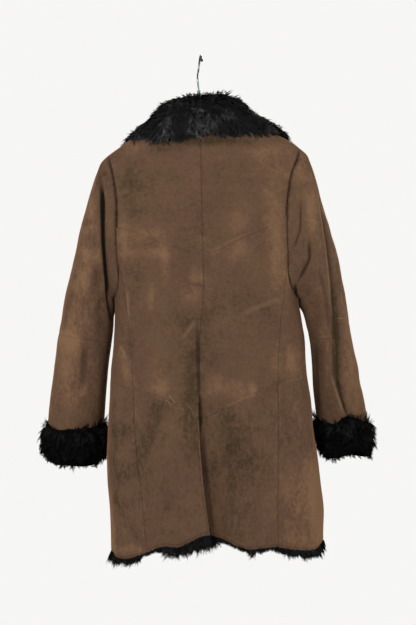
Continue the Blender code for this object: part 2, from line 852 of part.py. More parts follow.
def make_hem_wool(name, places, face, lift):
    """The wool that hangs below a panel's hem, laid inside the panel's own points."""
    foot = places[-1]
    outer, inner = [], []
    for i, below in enumerate(HEM_WOOL["below"]):
        outer.append([])
        inner.append([])
        for across, down in foot:
            share = read(WOOL_SHARE, "across", hand_of(across), abs(across))
            drop = below * (share if below > 0 else 1.0)
            point = body_point(across, face, down)
            out = body_normal(across, face, down)
            point += out * lift(across, -point.z) + Vector((0, 0, -drop))
            outer[i].append(point + out * HEM_WOOL["outer"][i])
            inner[i].append(point + out * HEM_WOOL["inner"][i])
    for row in (*outer, *inner):
        row[0] += (row[1] - row[0]).normalized() * SEAM_GAP
        row[-1] += (row[-2] - row[-1]).normalized() * SEAM_GAP
    make_wall(name, outer, inner, FUR)


def make_hem(hand):
    def back(across, drop):
        return back_lift(across, drop, hand == "right")

    def front(across, drop):
        return front_lift(across, drop, hand == "left")

    make_hem_wool(f"hem_wool_back_{hand}", skirt_places(hand), -1, back)
    make_hem_wool(f"hem_wool_side_{hand}", side_places(hand)[1], -1, back)
    make_hem_wool(f"hem_wool_front_{hand}", front_places(hand), 1, front)


def make_hanger_arms():
    """A curved hanger whose top lies close under the shoulder seams."""
    top, foot = [], []
    for r in range(HANGER_ROWS + 1):
        side = lerp(-1, 1, r / HANGER_ROWS)
        top.append([])
        foot.append([])
        for j in range(HANGER_COLUMNS + 1):
            across = lerp(-HANGER_REACH, HANGER_REACH, j / HANGER_COLUMNS)
            spread = abs(across) / HANGER_REACH
            half = lerp(HANGER_NECK_HALF, HANGER_END_HALF, smooth_share(spread) ** 2)
            half *= math.sqrt(max(0.15, 1.02 - spread**8))
            y = half * side
            x = body_point(across, -1, 0).x
            z = -shoulder_drop(across) - LEATHER_WALL - HANGER_CLEARANCE - HANGER_CROWN * abs(y)
            height = HANGER_HEIGHT * (1 - 0.75 * abs(side) ** 3) * (1 - 0.4 * spread)
            top[r].append(Vector((x, y, z)))
            foot[r].append(Vector((x, y, z - height)))
    make_wall("hanger_arms", top, foot, HANGER)


def hook_route():
    """Points of the hook's wire, from its tip over the rail and down the stem."""
    radius = (HOOK_INSIDE + HOOK_WIRE) / 2
    centre = HOOK_WIRE / 2 - radius
    points = []
    for k in range(HOOK_STEPS + 1):
        share = k / HOOK_STEPS
        angle = math.radians(lerp(HOOK_TIP_ANGLE, HOOK_TAIL_ANGLE, share))
        x = lerp(HOOK_TIP_X, HOOK_STEM_X, share)
        points.append((x, radius * math.sin(angle), centre + radius * math.cos(angle)))
    bend_y, bend_z = points[-1][1:]
    foot = -(FERRULE_TOP_DROP - SEAM_GAP)
    for share, fall in ((0.55, 4.6), (0.22, 8.5), (0.05, 12.5), (0.0, 17.0)):
        points.append((HOOK_STEM_X, bend_y * share, bend_z - fall))
    points.append((-1.0, 0.0, foot))
    return points


def make_wire(name, points, width, finish):
    curve = bpy.data.curves.new(name, "CURVE")
    curve.dimensions = "3D"
    curve.bevel_depth = width / 2 * MM
    curve.bevel_resolution = 2
    curve.use_fill_caps = True
    spline = curve.splines.new("POLY")
    spline.points.add(len(points) - 1)
    for point, place in zip(spline.points, points):
        point.co = (*(value * MM for value in place), 1.0)
    return keep_object(bpy.data.objects.new(name, curve), finish)


def make_hook():
    route = hook_route()
    make_wire("hanger_hook", route, HOOK_WIRE, STEEL)
    tip, beside = Vector(route[0]), Vector(route[1])
    ball_centre = tip + (tip - beside).normalized() * (HOOK_BALL / 2 + SEAM_GAP)
    bpy.ops.mesh.primitive_uv_sphere_add(
        segments=16, ring_count=10, radius=HOOK_BALL / 2 * MM, location=ball_centre * MM
    )
    ball = keep_object(bpy.context.object, HANGER)
    ball.name = "hanger_hook_ball"
    ball.data.shade_smooth()
    hanger_top = SHOULDER_LINE["left"][1] + LEATHER_WALL + HANGER_CLEARANCE
    height = hanger_top - FERRULE_TOP_DROP - SEAM_GAP
    bpy.ops.mesh.primitive_cylinder_add(
        vertices=20,
        radius=FERRULE_WIDTH / 2 * MM,
        depth=height * MM,
        location=(-1.0 * MM, 0.0, -(FERRULE_TOP_DROP + height / 2) * MM),
    )
    ferrule = keep_object(bpy.context.object, STEEL)
    ferrule.name = "hanger_ferrule"
    ferrule.data.shade_smooth()
    ferrule.data.set_sharp_from_angle(angle=math.radians(40))


def main():
    for obj in list(bpy.data.objects):
        bpy.data.objects.remove(obj, do_unlink=True)
    coat = bpy.data.collections.new("ShearlingCoat")
    bpy.context.scene.collection.children.link(coat)
    for hand in ("left", "right"):
        make_back(hand)
        make_front(hand)
        make_sleeve(hand)
        make_cuff(hand)
        make_collar(hand)
        make_hem(hand)
    make_hanger_arms()
    make_hook()


main()
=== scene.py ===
"""The looks of a shearling coat on its hanger: worn brown suede outside, and black fur at collar, cuffs
and hem. Lengths are in millimetres until a mesh is made. x runs to the right seen from behind, and a drop
is how far a place lies below the origin, where the hook rests on its rail."""

import itertools
import math

import bmesh
import bpy
import numpy as np
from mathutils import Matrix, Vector


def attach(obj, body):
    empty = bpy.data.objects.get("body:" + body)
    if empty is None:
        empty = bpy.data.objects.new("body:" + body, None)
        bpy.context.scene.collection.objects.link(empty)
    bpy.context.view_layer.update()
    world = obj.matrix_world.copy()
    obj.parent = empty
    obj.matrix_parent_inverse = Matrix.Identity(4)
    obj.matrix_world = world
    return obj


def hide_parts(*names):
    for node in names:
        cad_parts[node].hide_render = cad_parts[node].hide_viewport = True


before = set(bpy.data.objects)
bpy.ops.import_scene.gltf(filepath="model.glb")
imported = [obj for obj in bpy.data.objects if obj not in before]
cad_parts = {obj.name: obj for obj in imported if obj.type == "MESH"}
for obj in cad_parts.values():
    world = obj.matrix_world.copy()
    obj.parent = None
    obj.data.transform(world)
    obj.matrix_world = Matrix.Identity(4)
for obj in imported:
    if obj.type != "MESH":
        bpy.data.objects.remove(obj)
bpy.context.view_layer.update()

MM = 0.001
LEATHER_WALL = 3.0
SEAM_OVERLAP = 0.2
SURFACE_STEP = 0.002
NOISE_CELLS = 4093
NOISE_PRIMES = np.array([73856093, 19349663, 83492791])
UPRIGHT = np.array([0.0, 0.0, 1.0])
# The sign of x on each hand
SIDE = {"left": -1.0, "right": 1.0}

# Body
BODY_ROUNDNESS = 2.6
SHOULDER_ROUND = 100.0
ARMHOLE_SPLIT_DROP = 422.0
ARMPIT_DROP = 510.0
NECK_ACROSS = 0.38
NECK_BACK = 0.38
NECK_FRONT = 1.02
FRONT_LAP = 0.1
FRONT_LAP_FADE = 0.3
FRONT_LAP_LIFT = 18.0
FRONT_WAVES = 0.6
VENT_TOP_DROP = 690.0
VENT_FOOT_DROP = 1004.0
# The vent's relief sets in over this length
VENT_START = 60.0
# How far the vent's left layer stands proud and its right one lies back, at its top and at its foot
VENT_LIFT = (1.5, 9.0)
VENT_RECESS = (4.0, 24.0)
# The right layer's lap past the centre, its share at the skirt's top, and the share of the skirt's
# length over which it sets in
VENT_LAP = 0.14
VENT_LAP_TOP = 0.35
VENT_LAP_START = 0.14
VENT_SPREAD = 0.42
# Rows down a front's outer edge: as far as the upper V seam, the foot of the armhole's straight
# stretch, the armpit, the lower V seam and the hem
OUTLINE_ROWS = (6, 8, 12, 17, 24)
ARMHOLE_STOPS = 97

# Fur
CUFF_CLEARANCE = 0.6
CUFF_TOP_DROP = {"left": 770.0, "right": 757.0}
CUFF_HEIGHT = {"left": 91.0, "right": 87.0}
CUFF_FULLNESS = {"left": 0.52, "right": 0.38}
# How far the cuffs' outer and inner lower corners are rounded up, and how far their middle hangs
CUFF_CORNER = {"left": (18.0, 12.0), "right": (15.0, 10.0)}
CUFF_SAG = {"left": 3.0, "right": 5.0}
# Grid points round a cuff and down it, and the circle on which its rim's unevenness is read
CUFF_GRID = (97, 26)
CUFF_RADIUS = 55.0
# The cuff's under body begins this far down and is this much shorter than the cuff
CUFF_TOP_INSET = 3
CUFF_HEIGHT_INSET = 5
# The cuff's upper rim: how uneven it is, how far it dips in the middle, and how high its ends stand
CUFF_RIM_UNEVEN = 2.8
CUFF_RIM_DIP = 15
CUFF_RIM_LIFT = 5
CUFF_FOOT_UNEVEN = 4.5
# Seeds of the locks' random numbers
FUR_SEEDS = {
    "collar": {"left": 31, "right": 32},
    "cuff": {"left": 41, "right": 42},
    "hem": {"left": 50, "right": 60},
}


def table(columns, *rows):
    """Short rows under named columns. A row may leave out its last values, which are then 0."""
    names = columns.split()
    full = [row + (0,) * (len(names) - len(row)) for row in rows]
    return {name: [row[i] for row in full] for i, name in enumerate(names)}


# Columns of the creases and of the soft tilted patches
CREASE_COLUMNS = "x0 drop0 x1 drop1 x2 drop2 width depth mark step reach"
PATCH_COLUMNS = "x drop wide tall strength tilt"

# The body's outline at each drop: outermost x on both hands, and how far back and front reach
BODY_RINGS = table(
    "drop left right back front",
    (100, -206, 222, 66, 72),
    (200, -212, 229, 70, 78),
    (300, -211, 224, 75, 84),
    (400, -202, 218, 78, 88),
    (460, -189, 211, 79, 89),
    (510, -178, 208, 79, 89),
    (544, -177.5, 213, 79, 89),
    (594, -179.5, 219.5, 79, 89),
    (670, -186, 226, 80, 90),
    (720, -188.5, 234, 82, 92),
    (780, -192, 239, 84, 94),
    (846, -194, 249, 87, 96),
    (897, -192, 255, 89, 98),
    (947, -188, 261, 90, 99),
    (1000, -186, 260, 91, 100),
    (1060, -185, 262, 91, 100),
)
# The seam line that runs down the armhole and on down the side of the back
SIDE_SEAM = table(
    "drop left right",
    (100, -200, 214),
    (206, -192, 208),
    (254, -180, 191),
    (298, -173, 184),
    (382, -172, 181),
    (422, -170, 183),
    (481, -158, 177),
    (565, -146, 168),
    (685, -137, 162),
    (781, -133, 163),
    (920, -118, 162),
    (1050, -105, 162),
)
CENTRE_BACK = table(
    "drop x",
    (100, 2),
    (172, 3),
    (412, 7.5),
    (481, 9.5),
    (578, 2),
    (685, -1),
    (800, 1),
    (930, 13.5),
    (1004, 24),
    (1060, 30),
)
# Heights along the seams: across is 0 at the centre, 1 at the side seam and 2 at the coat's side
SHOULDER_LINE = table(
    "across left right",
    (-0.38, 128, 126),
    (0.0, 106, 106),
    (0.38, 128, 126),
    (0.6, 152, 143),
    (0.82, 185, 170),
    (0.92, 198, 181),
    (1.0, 208, 193),
)
UPPER_V = table(
    "across left right",
    (0.0, 422, 422),
    (0.25, 408, 403),
    (0.5, 392, 382),
    (0.75, 373, 364),
    (1.0, 362, 337),
)
LOWER_V = table(
    "across left right",
    (0.0, 757, 755),
    (0.1, 741, 751),
    (0.35, 727, 731),
    (0.55, 712, 718),
    (0.8, 701, 694),
    (1.0, 695, 681),
    (1.5, 685, 668),
    (2.0, 672, 652),
)
HEM = table(
    "across left right",
    (0.0, 991, 996),
    (0.12, 994, 1000),
    (0.33, 1008, 1013),
    (0.52, 1019, 1022),
    (0.75, 1018, 1021),
    (1.0, 1031, 1020),
    (1.2, 1042, 1026),
    (1.5, 1045, 1028),
    (1.8, 1038, 1021),
    (2.0, 1037, 1014),
)
# Waves of the hem: how far the cloth stands in or out at the foot, fading upwards
HEM_WAVES = table(
    "across left right",
    (0.0, 0, 0),
    (0.3, 0, 0),
    (0.6, -7, 4),
    (1.0, 1, -2),
    (1.4, 7, 4),
    (1.8, -2, -4),
    (2.0, 0, 0),
)
HEM_WAVE_TOP = 760.0
HEM_WAVE_FOOT = 1040.0

# Sleeves: outline seen from the back at each section. "along" is the outer edge's drop.
SLEEVE_SECTIONS = {
    "left": table(
        "along outer inner inner_drop middle depth",
        (206, -192, -178.5, 510, 0, 50),
        (217, -203.5, -180, 509, 0, 52),
        (242, -215, -181, 509, 0, 55),
        (280, -228, -181.5, 511, 1, 58),
        (342, -244.5, -182, 516, 3, 61),
        (418, -263, -182, 525, 7, 62),
        (493, -280, -181.5, 543, 13, 61),
        (544, -289, -181, 562, 18, 60),
        (594, -299, -185, 597, 23, 58),
        (645, -306, -192, 645, 30, 56),
        (695, -313, -197, 695, 38, 54),
        (745, -320, -201, 745, 47, 52),
        (800, -325, -205, 800, 57, 51),
        (850, -326, -208, 850, 64, 51),
    ),
    "right": table(
        "along outer inner inner_drop middle depth",
        (193, 209, 208.5, 510, 0, 50),
        (203, 221, 210, 509, 0, 52),
        (224, 232, 211, 509, 0, 55),
        (267, 247, 212, 511, 1, 58),
        (342, 270, 213, 516, 3, 61),
        (418, 289, 215, 525, 7, 62),
        (493, 303, 220, 543, 13, 61),
        (544, 312, 225, 562, 18, 60),
        (594, 322, 233, 597, 23, 58),
        (645, 334, 238, 645, 30, 56),
        (695, 343, 241, 695, 38, 54),
        (745, 354, 247, 745, 47, 52),
        (800, 362, 255, 800, 57, 51),
        (834, 364, 260, 834, 62, 51),
    ),
}
# How far the outer sleeve seam has turned to the back, in degrees
SLEEVE_TURN = table(
    "along left right",
    (193, 0, 0),
    (254, -4, 14),
    (370, -10, 50),
    (470, -12, 60),
    (594, -12, 80),
    (690, -10, 92),
    (770, -10, 78),
    (845, -8, 74),
)
# Where each half (-1 back, 1 front) is cut across at the elbow: at the outer seam and at the armpit's
ELBOW = {"left": {-1: (578, 602), 1: (578, 602)}, "right": {-1: (588, 588), 1: (556, 570)}}
# Lengthwise folds of the sleeves, placed by the turn around the sleeve (0 outer edge, 1 armpit)
SLEEVE_FOLDS = {
    "left": table(
        "start end start_turn end_turn width depth",
        (250, 540, 0.62, 0.8, 0.2, 4),
        (590, 780, 0.5, 0.56, 0.16, 3),
    ),
    "right": table(
        "start end start_turn end_turn width depth",
        (300, 560, 0.75, 0.56, 0.2, 5),
        (600, 790, 0.6, 0.45, 0.17, 3),
    ),
}
ARMHOLE_FADE = 120.0
ARMHOLE_BLEND = 10.0
FOLD_SEAM_FADE = 0.16

# Collar: the outer edge at each turn from the centre back (0) to the centre front (180 degrees)
COLLAR_EDGE = table(
    "turn across_left drop_left across_right drop_right",
    (0, 0.0, 170, 0.0, 167),
    (30, 0.36, 184, 0.36, 170),
    (55, 0.62, 175, 0.66, 162),
    (75, 0.74, 174, 0.83, 168),
    (90, 0.78, 173, 0.87, 171),
    (110, 0.77, 196, 0.84, 196),
    (135, 0.62, 236, 0.64, 234),
    (158, 0.36, 297, 0.38, 297),
    (172, 0.1, 347, 0.12, 347),
)
COLLAR_END_TURN = 172.0
# Where the collar's fur shows paler with painted grey sheen (above 0) or darker with painted shade in its
# hollows (below 0)
COLLAR_SHADES = table(
    PATCH_COLUMNS,
    (51, 103, 32, 38, -1.2),
    (-45, 140, 11, 20, -1.7, 10),
    (104, 140, 16, 12, -1.5),
    (138, 145, 62, 26, -0.6, 30),
    (-125, 160, 38, 22, -0.4, -25),
    (-100, 115, 26, 22, -0.7),
    (-76, 165, 24, 24, 0.6),
    (4, 120, 20, 30, 0.65),
    (-8, 150, 26, 18, 0.5),
    (52, 158, 44, 16, 0.6),
)
# Along the collar's top the locks are shorter (below 0) or longer near these places, as a share
COLLAR_CROWN = table("x wide longer", (4, 30, -0.34), (64, 22, 0.2), (-42, 26, -0.3), (108, 24, -0.24))
# The locks' share of their full length there, and how much less at the shoulders
COLLAR_CROWN_SHARE = 0.62
COLLAR_CROWN_SIDES = 0.22
# How far from the neck seam the upright locks and the crest reach, as a share of the collar's width
COLLAR_TOP_REACH = 0.32
COLLAR_CREST_REACH = 0.4
# How much higher (above 0) or lower the collar stands behind the neck, in millimetres
COLLAR_CREST = table(
    PATCH_COLUMNS,
    (52, 110, 20, 60, 7.0),
    (-12, 110, 30, 60, -4.0),
)
# The fur from the neck seam (0) to the collar's edge (1): its height, how far it leans from upright
# to square off the cloth, and the space under it
COLLAR_FUR = table(
    "out back side_left side_right front lean under",
    (0.0, 41, 29, 38, 24, 0.0, 0.8),
    (0.1, 43, 24, 29, 26, 0.1, 1.5),
    (0.25, 31, 15, 18, 25, 0.3, 2.2),
    (0.45, 24, 7, 11, 22, 0.6, 2.6),
    (0.7, 21, 6, 11, 19, 0.9, 2.6),
    (0.9, 15, 4, 7, 14, 1.0, 2.4),
    (1.0, 5, 2, 3, 6, 1.0, 1.8),
)
# Cuff fur: share of the height down, and how far it stands off the sleeve
CUFF_FUR = table(
    "down out",
    (0.0, 3),
    (0.1, 10),
    (0.35, 17),
    (0.65, 18),
    (0.9, 8),
    (1.0, 1),
)
# The fur is flattened where the cuff hangs behind the body
CUFF_SQUASH = table("turn share", (-1.0, 0.9), (-0.6, 0.85), (0.0, 1.0), (0.6, 0.85), (1.0, 0.9))
# Hem wool: depth below the leather's edge, and the offsets of its outer and inner face
HEM_WOOL = table(
    "below outer inner",
    (-16, -4.2, -11),
    (0.6, -3.6, -13),
    (1.8, -1, -13.5),
    (9, 2, -13),
    (17, 0, -10.5),
    (21, -3, -7),
)
# Rows of the hem wool's grid. The locks grow from the ones below the leather's edge.
HEM_WOOL_ROWS = (-16, -8, -2, 0.6, 1.8, 5, 9, 13, 17, 19.5, 21.0)
HEM_STOPS = 49
# How far the wool hangs below the leather along the hem, as a share
WOOL_SHARE = table(
    "across left right",
    (0.0, 1.4, 1.0),
    (0.3, 1.2, 0.55),
    (0.6, 0.8, 0.6),
    (1.0, 0.5, 0.5),
    (1.3, 0.4, 0.7),
    (1.7, 0.9, 0.8),
    (2.0, 1.2, 0.8),
)

# Length of the hem's tufts as a share, by x along the back
HEM_TUFTS = table(
    "x share",
    (-195, 0.65), (-167, 0.65), (-152, 0.3), (-135, 0.8), (-121, 0.15), (-98, 0.15), (-83, 0.8),
    (-41, 0.75), (-20, 1.05), (12, 1.1), (35, 1.0), (47, 0.2), (91, 0.2), (106, 0.4), (123, 0.3),
    (169, 0.3), (180, 0.75), (194, 0.75), (207, 0.4), (222, 0.65), (270, 0.7),
)

# Creases, ridges and rubbed lines of the cloth, each a short bent line by x and drop. depth presses it in
# (below 0 it stands proud), mark darkens it with painted shade (below 0 it is paler, as rubbed scratches and
# as painted highlights on ridges), and step sinks the cloth on its right-hand side, fading over reach.
BACK_CREASES = table(
    CREASE_COLUMNS,
    (-28, 475, -5, 479, 16, 483, 3.2, 1.2, 0.2),
    (16, 481, 30, 485, 47, 489, 3.6, 1, 0.12),
    # A ridge with a painted highlight along it
    (84, 544, 136, 521, 178, 506, 5.5, -0.9, -0.2),
    (-37, 592, -22, 573, -7, 554, 4.5, -0.7, -0.28),
    (-4, 563, -3, 647, 0, 724, 4.6, 2, 0.55),
    (-1, 700, 2, 746, 5, 800, 4.4, 2, 0.65),
    # This row and the next paint only shade: the shadow beside the vent's lapped edge
    (6, 775, 12, 850, 19, 915, 5.0, 0, 0.5),
    (18, 890, 24, 950, 29, 1004, 3.0, 0, 0.3),
    (-65, 711, -57, 719, -50, 729, 1.3, -0.3, -0.7),
    (-74, 719, -66, 724, -57, 731, 1.2, -0.2, -0.5),
    (56, 735, 85, 722, 121, 706, 2.7, -0.4, -0.3),
    (22, 412, 62, 388, 104, 368, 2.7, 0.5, -0.18),
    (33, 405, 72, 382, 112, 361, 2.1, 0.4, 0.15),
    (-28, 726, -17, 741, -10, 756, 1.8, -0.4, -0.22),
    (-152, 485, -150, 521, -148, 563, 3.2, -0.4, -0.3),
    (-125, 395, -104, 393, -83, 384, 2.5, 0.4, 0.15),
    (-169, 605, -159, 620, -152, 640, 3.4, -0.8, -0.4),
    (102, 254, 108, 262, 114, 258, 2.5, 0.4, 0.2),
    (148, 227, 161, 233, 175, 242, 2.5, 0.4, 0.15),
)
LEFT_SLEEVE_CREASES = table(
    CREASE_COLUMNS,
    # A deep fold, also painted near black with shade along its line
    (-208, 256, -201, 400, -184, 570, 4.0, 9, 2.0, 8, 18),
    (-240, 605, -243, 653, -249, 710, 7.0, 2.5, 0.3),
    (-207, 439, -219, 489, -243, 536, 9.5, 3, 0.2),
    (-217, 430, -209, 510, -203, 605, 10.5, 3, 0.35),
    (-234, 678, -243, 704, -251, 724, 3.0, -0.8, -0.15),
    # Painted highlight below the elbow seam
    (-293, 580, -268, 583, -243, 596, 3.4, -0.4, -0.2),
)
RIGHT_SLEEVE_CREASES = table(
    CREASE_COLUMNS,
    (253, 270, 268, 384, 285, 510, 5.5, 4, 0.45, 3, 12),
    (282, 450, 287, 590, 288, 704, 9.4, 6.5, 0.9),
    (288, 672, 297, 712, 310, 760, 4.0, 4, 0.6),
    (213, 300, 212, 363, 196, 407, 2.6, 2.8, 0.5),
    (230, 384, 231, 424, 205, 479, 2.9, 4, 0.62, 3, 8),
    (249, 437, 266, 510, 272, 578, 4.2, 1.5, 0.3),
    (245, 598, 247, 678, 251, 752, 3.8, 2, 0.45),
    # A ridge beside the lengthwise seam, with a painted highlight along it
    (243, 262, 263, 385, 280, 560, 2.3, -1.2, -0.5),
    (274, 662, 289, 710, 306, 756, 2.9, -0.8, -0.3),
    (243, 590, 257, 590, 278, 586, 2.9, -0.4, -0.2),
    (291, 549, 300, 550, 310, 548, 2.0, -0.3, -0.5),
    # Painted shadow in the gap under the arm
    (200, 474, 204, 498, 209, 524, 3.4, 1.5, 0.95),
)

SLEEVE_CREASES = {"left": LEFT_SLEEVE_CREASES, "right": RIGHT_SLEEVE_CREASES}
# Creases of the front, by the same x and drop
FRONT_CREASES = table(
    CREASE_COLUMNS,
    (-60, 560, -72, 720, -84, 900, 14, 3, 0.12),
    (85, 520, 92, 700, 86, 880, 16, 3.5, 0.12),
    (-152, 640, -140, 740, -150, 840, 10, 2, 0.1),
    (152, 560, 140, 640, 147, 740, 9, 2, 0.1),
    (-178, 470, -140, 488, -102, 482, 5, 2, 0.25),
    (200, 470, 160, 492, 118, 486, 5, 2.2, 0.25),
    (-95, 345, -72, 362, -46, 356, 4, 1.2, 0.2),
    (40, 860, 56, 900, 62, 965, 8, 2, 0.1),
    (-30, 940, -24, 980, -22, 1022, 6, 1.5, 0.1),
    (122, 930, 112, 970, 110, 1012, 7, 1.5, 0.1),
    (-292, 560, -262, 575, -236, 572, 4.5, 2.5, 0.3),
    (-298, 604, -270, 608, -244, 598, 4, 2, 0.25),
    (-222, 498, -235, 530, -254, 554, 5, 2.5, 0.25),
    (-302, 690, -282, 722, -262, 736, 5, 1.5, 0.15),
    (320, 558, 292, 576, 260, 570, 4.5, 2.5, 0.3),
    (332, 600, 300, 613, 268, 604, 4, 2, 0.25),
    (238, 520, 252, 546, 272, 557, 5, 2.5, 0.25),
    (-205, 420, -222, 450, -232, 488, 6, 2.5, 0.2),
    (225, 420, 238, 452, 247, 492, 6, 2.5, 0.2),
)

# Random hills of the cloth, lumps of the fur's bodies and random paler places of the collar's painted sheen
CLOTH_HILLS = table("height size seed", (1.6, 74.0, 11), (0.8, 31.0, 12), (0.3, 13.0, 13))
FUR_LUMPS = table("height size seed", (0.8, 26.0, 20), (0.5, 11.0, 21), (0.3, 5.0, 22))
COLLAR_TONES = table("height size seed", (1.5, 30.0, 24), (0.6, 11.0, 25))

# How far apart a panel's grid points are, across and down
BACK_STEP = (3.6, 5.2)
FRONT_STEP = (7.5, 8.5)
SLEEVE_FRONT_STEP = (4.5, 6.5)
# Under the arm the sleeve is fuller: by how much, how far below the armpit, and over what height
UNDERARM_FULL = {"left": (8.0, 12.0, 19.0), "right": (8.0, 4.0, 16.0)}
# It begins over this length below the armhole, and from this turn towards the armpit's seam
UNDERARM_START = 60.0
UNDERARM_TURN = 0.7
UNDERARM_TURN_FADE = 0.3
# Lengths that space the grids: half round a sleeve, and along and across one half of the collar
SLEEVE_HALF_ROUND = 170.0
COLLAR_ROUND = 560.0
COLLAR_WIDTH = 110.0
COLLAR_STEP = 5.0
# The sleeves end this far above the solids' lower edge, inside the cuffs
SLEEVE_TUCK = 10.0
# Beside a border the grid points lie this far from it
BORDER_STEPS = (0.0, 0.9, 2.0, 3.5, 5.5)
# A panel is first measured on a grid this coarse
COARSE_STOPS = 25
# Edges sharper than this, in degrees, are drawn sharp
SHARP_ANGLE = 60

# Seam forms: depth and half width of the dip beside each kind of border, how dark the painted shade in its
# groove is, and how far from it the cloth's hills begin
DIPS = {
    "plain": (0.5, 1.8, 0.32, 16.0),
    "vee": (0.35, 1.8, 0.16, 16.0),
    "centre": (0.45, 1.8, 0.38, 16.0),
    "armhole": (2.8, 3.3, 0.95, 16.0),
    "shoulder": (0.5, 2.5, 0.3, 45.0),
    "edge": (1.6, 2.6, 0.0, 16.0),
}
# The armhole's dip and the painted shade in its groove fade where the cloth faces up, and its dip fades
# beside the armpit
ARMHOLE_LEVEL = 0.8
ARMHOLE_LEVEL_FADE = 0.5
ARMPIT_CALM = 18.0
# Cloth that faces back takes the back's creases and patches, and the rest takes the front's
BEHIND_OUT = 0.2
BEHIND_FADE = 0.35
# Where no border or line is near: a distance in millimetres, and one in widths of a line
FAR_BORDER = 99.0
FAR_LINE = 9.0
# Creases at least this wide shade the cloth softly, and narrower ones mark a line this many widths wide
SOFT_WIDTH = 8.0
MARK_REACH = 2.0
# Where the camera stands, and where the listed lines and patches are seen from: x, distance behind the coat,
# and drop
STAND = (18.0, 3400.0, 537.0)
# A line fades over this share of its length at both ends, and breaks off this far along the fade
LINE_FADE = 0.28
LINE_END = 0.15
# A crease has a low rim on both sides: its height as a share, and how many widths away it lies
RIM_HEIGHT = 0.25
RIM_AWAY = 2.2


def lerp(start, end, share):
    return start + (end - start) * share


def smooth_share(value):
    """0 below 0, 1 above 1 and an even bend between."""
    value = np.clip(value, 0.0, 1.0)
    return value * value * (3 - 2 * value)


def bell(value):
    """1 at 0, and fading evenly on both sides."""
    return np.exp(-(value**2))


def unit(vectors):
    return vectors / np.maximum(np.linalg.norm(vectors, axis=-1, keepdims=True), 1e-9)


def read(rows, key, column, at):
    """One column as a smooth curve over the key column, straight on past its ends."""
    keys, values = np.array(rows[key], float), np.array(rows[column], float)
    at = np.asarray(at, float)
    step = np.diff(keys)
    rise = np.diff(values) / step
    slopes = np.empty(len(keys))
    slopes[0], slopes[-1] = rise[0], rise[-1]
    slopes[1:-1] = (rise[:-1] * step[1:] + rise[1:] * step[:-1]) / (step[1:] + step[:-1])
    i = np.clip(np.searchsorted(keys, at, side="right") - 1, 0, len(keys) - 2)
    t = (at - keys[i]) / step[i]
    inside = values[i] * (2 * t**3 - 3 * t**2 + 1) + values[i + 1] * (3 * t**2 - 2 * t**3)
    inside += step[i] * (slopes[i] * (t**3 - 2 * t**2 + t) + slopes[i + 1] * (t**3 - t**2))
    before = values[0] + (at - keys[0]) * slopes[0]
    after = values[-1] + (at - keys[-1]) * slopes[-1]
    return np.where(at <= keys[0], before, np.where(at >= keys[-1], after, inside))


def read_hand(rows, key, across, at):
    """The left or the right column, by the sign of across."""
    return np.where(np.asarray(across) < 0, read(rows, key, "left", at), read(rows, key, "right", at))


def smooth_noise(places, size, seed):
    """Soft random hills of one size in mm, between -1 and 1."""
    values = np.random.default_rng(seed).uniform(-1, 1, NOISE_CELLS)
    cell = np.asarray(places, float) / size
    low = np.floor(cell).astype(np.int64)
    t = cell - low
    t = t * t * (3 - 2 * t)
    total = np.zeros(t.shape[:-1])
    for corner in itertools.product((0, 1), repeat=3):
        share = np.prod(np.where(np.array(corner), t, 1 - t), axis=-1)
        key = ((low + np.array(corner)) * NOISE_PRIMES).sum(axis=-1)
        total += values[np.abs(key ^ (key >> 9)) % NOISE_CELLS] * share
    return total


def hills(places, sizes):
    """Soft random hills of several sizes, added up."""
    return sum(height * smooth_noise(places, size, seed) for height, size, seed in zip(*sizes.values()))


def shoulder_drop(across):
    return read_hand(SHOULDER_LINE, "across", across, np.minimum(1.0, np.abs(across)))


def roof_fall(down):
    """Fall below the shoulder line, and share of the full depth, at a place down the panel."""
    angle = np.minimum(down, 1) * math.pi / 2
    bent = SHOULDER_ROUND * (1 - np.cos(angle))
    straight = SHOULDER_ROUND * (1 + (down - 1) * math.pi / 2)
    return np.where(down <= 1, bent, straight), np.where(down <= 1, np.sin(angle), 1.0)


def place_down(across, drop):
    """The place down the panel that lies at this drop. It is the inverse of roof_fall."""
    fall = np.maximum(0.0, drop - shoulder_drop(across))
    bent = np.arccos(np.clip(1 - fall / SHOULDER_ROUND, -1, 1)) / (math.pi / 2)
    return np.where(fall < SHOULDER_ROUND, bent, 1 + (fall / SHOULDER_ROUND - 1) / (math.pi / 2))


def body_point(across, face, down):
    """The coat's outer surface. face is -1 on the back and 1 on the front."""
    across, down = np.broadcast_arrays(np.asarray(across, float), np.maximum(0.0, down))
    share = np.minimum(2.0, np.abs(across))
    fall, reach = roof_fall(down)
    drop = shoulder_drop(across) + fall
    left, right = read(BODY_RINGS, "drop", "left", drop), read(BODY_RINGS, "drop", "right", drop)
    depth = read(BODY_RINGS, "drop", "back" if face < 0 else "front", drop)
    middle, half = (left + right) / 2, (right - left) / 2
    seam = read_hand(SIDE_SEAM, "drop", across, drop)
    near_x = lerp(read(CENTRE_BACK, "drop", "x", drop), seam, np.minimum(1.0, share))
    out = np.clip(np.abs(near_x - middle) / half, 0.0, 1.0)
    near_y = (1 - out**BODY_ROUNDNESS) ** (1 / BODY_ROUNDNESS)
    seam_out = np.clip(np.abs(seam - middle) / half, 0.0, 1.0)
    seam_angle = np.arcsin(seam_out ** (BODY_ROUNDNESS / 2))
    angle = lerp(seam_angle, math.pi / 2, np.clip(share - 1, 0.0, 1.0))
    far_x = middle + np.sign(across) * half * np.sin(angle) ** (2 / BODY_ROUNDNESS)
    far_y = np.maximum(0.0, np.cos(angle)) ** (2 / BODY_ROUNDNESS)
    x, y = np.where(share <= 1, near_x, far_x), np.where(share <= 1, near_y, far_y)
    return np.stack([x, face * depth * reach * y, -drop], axis=-1)


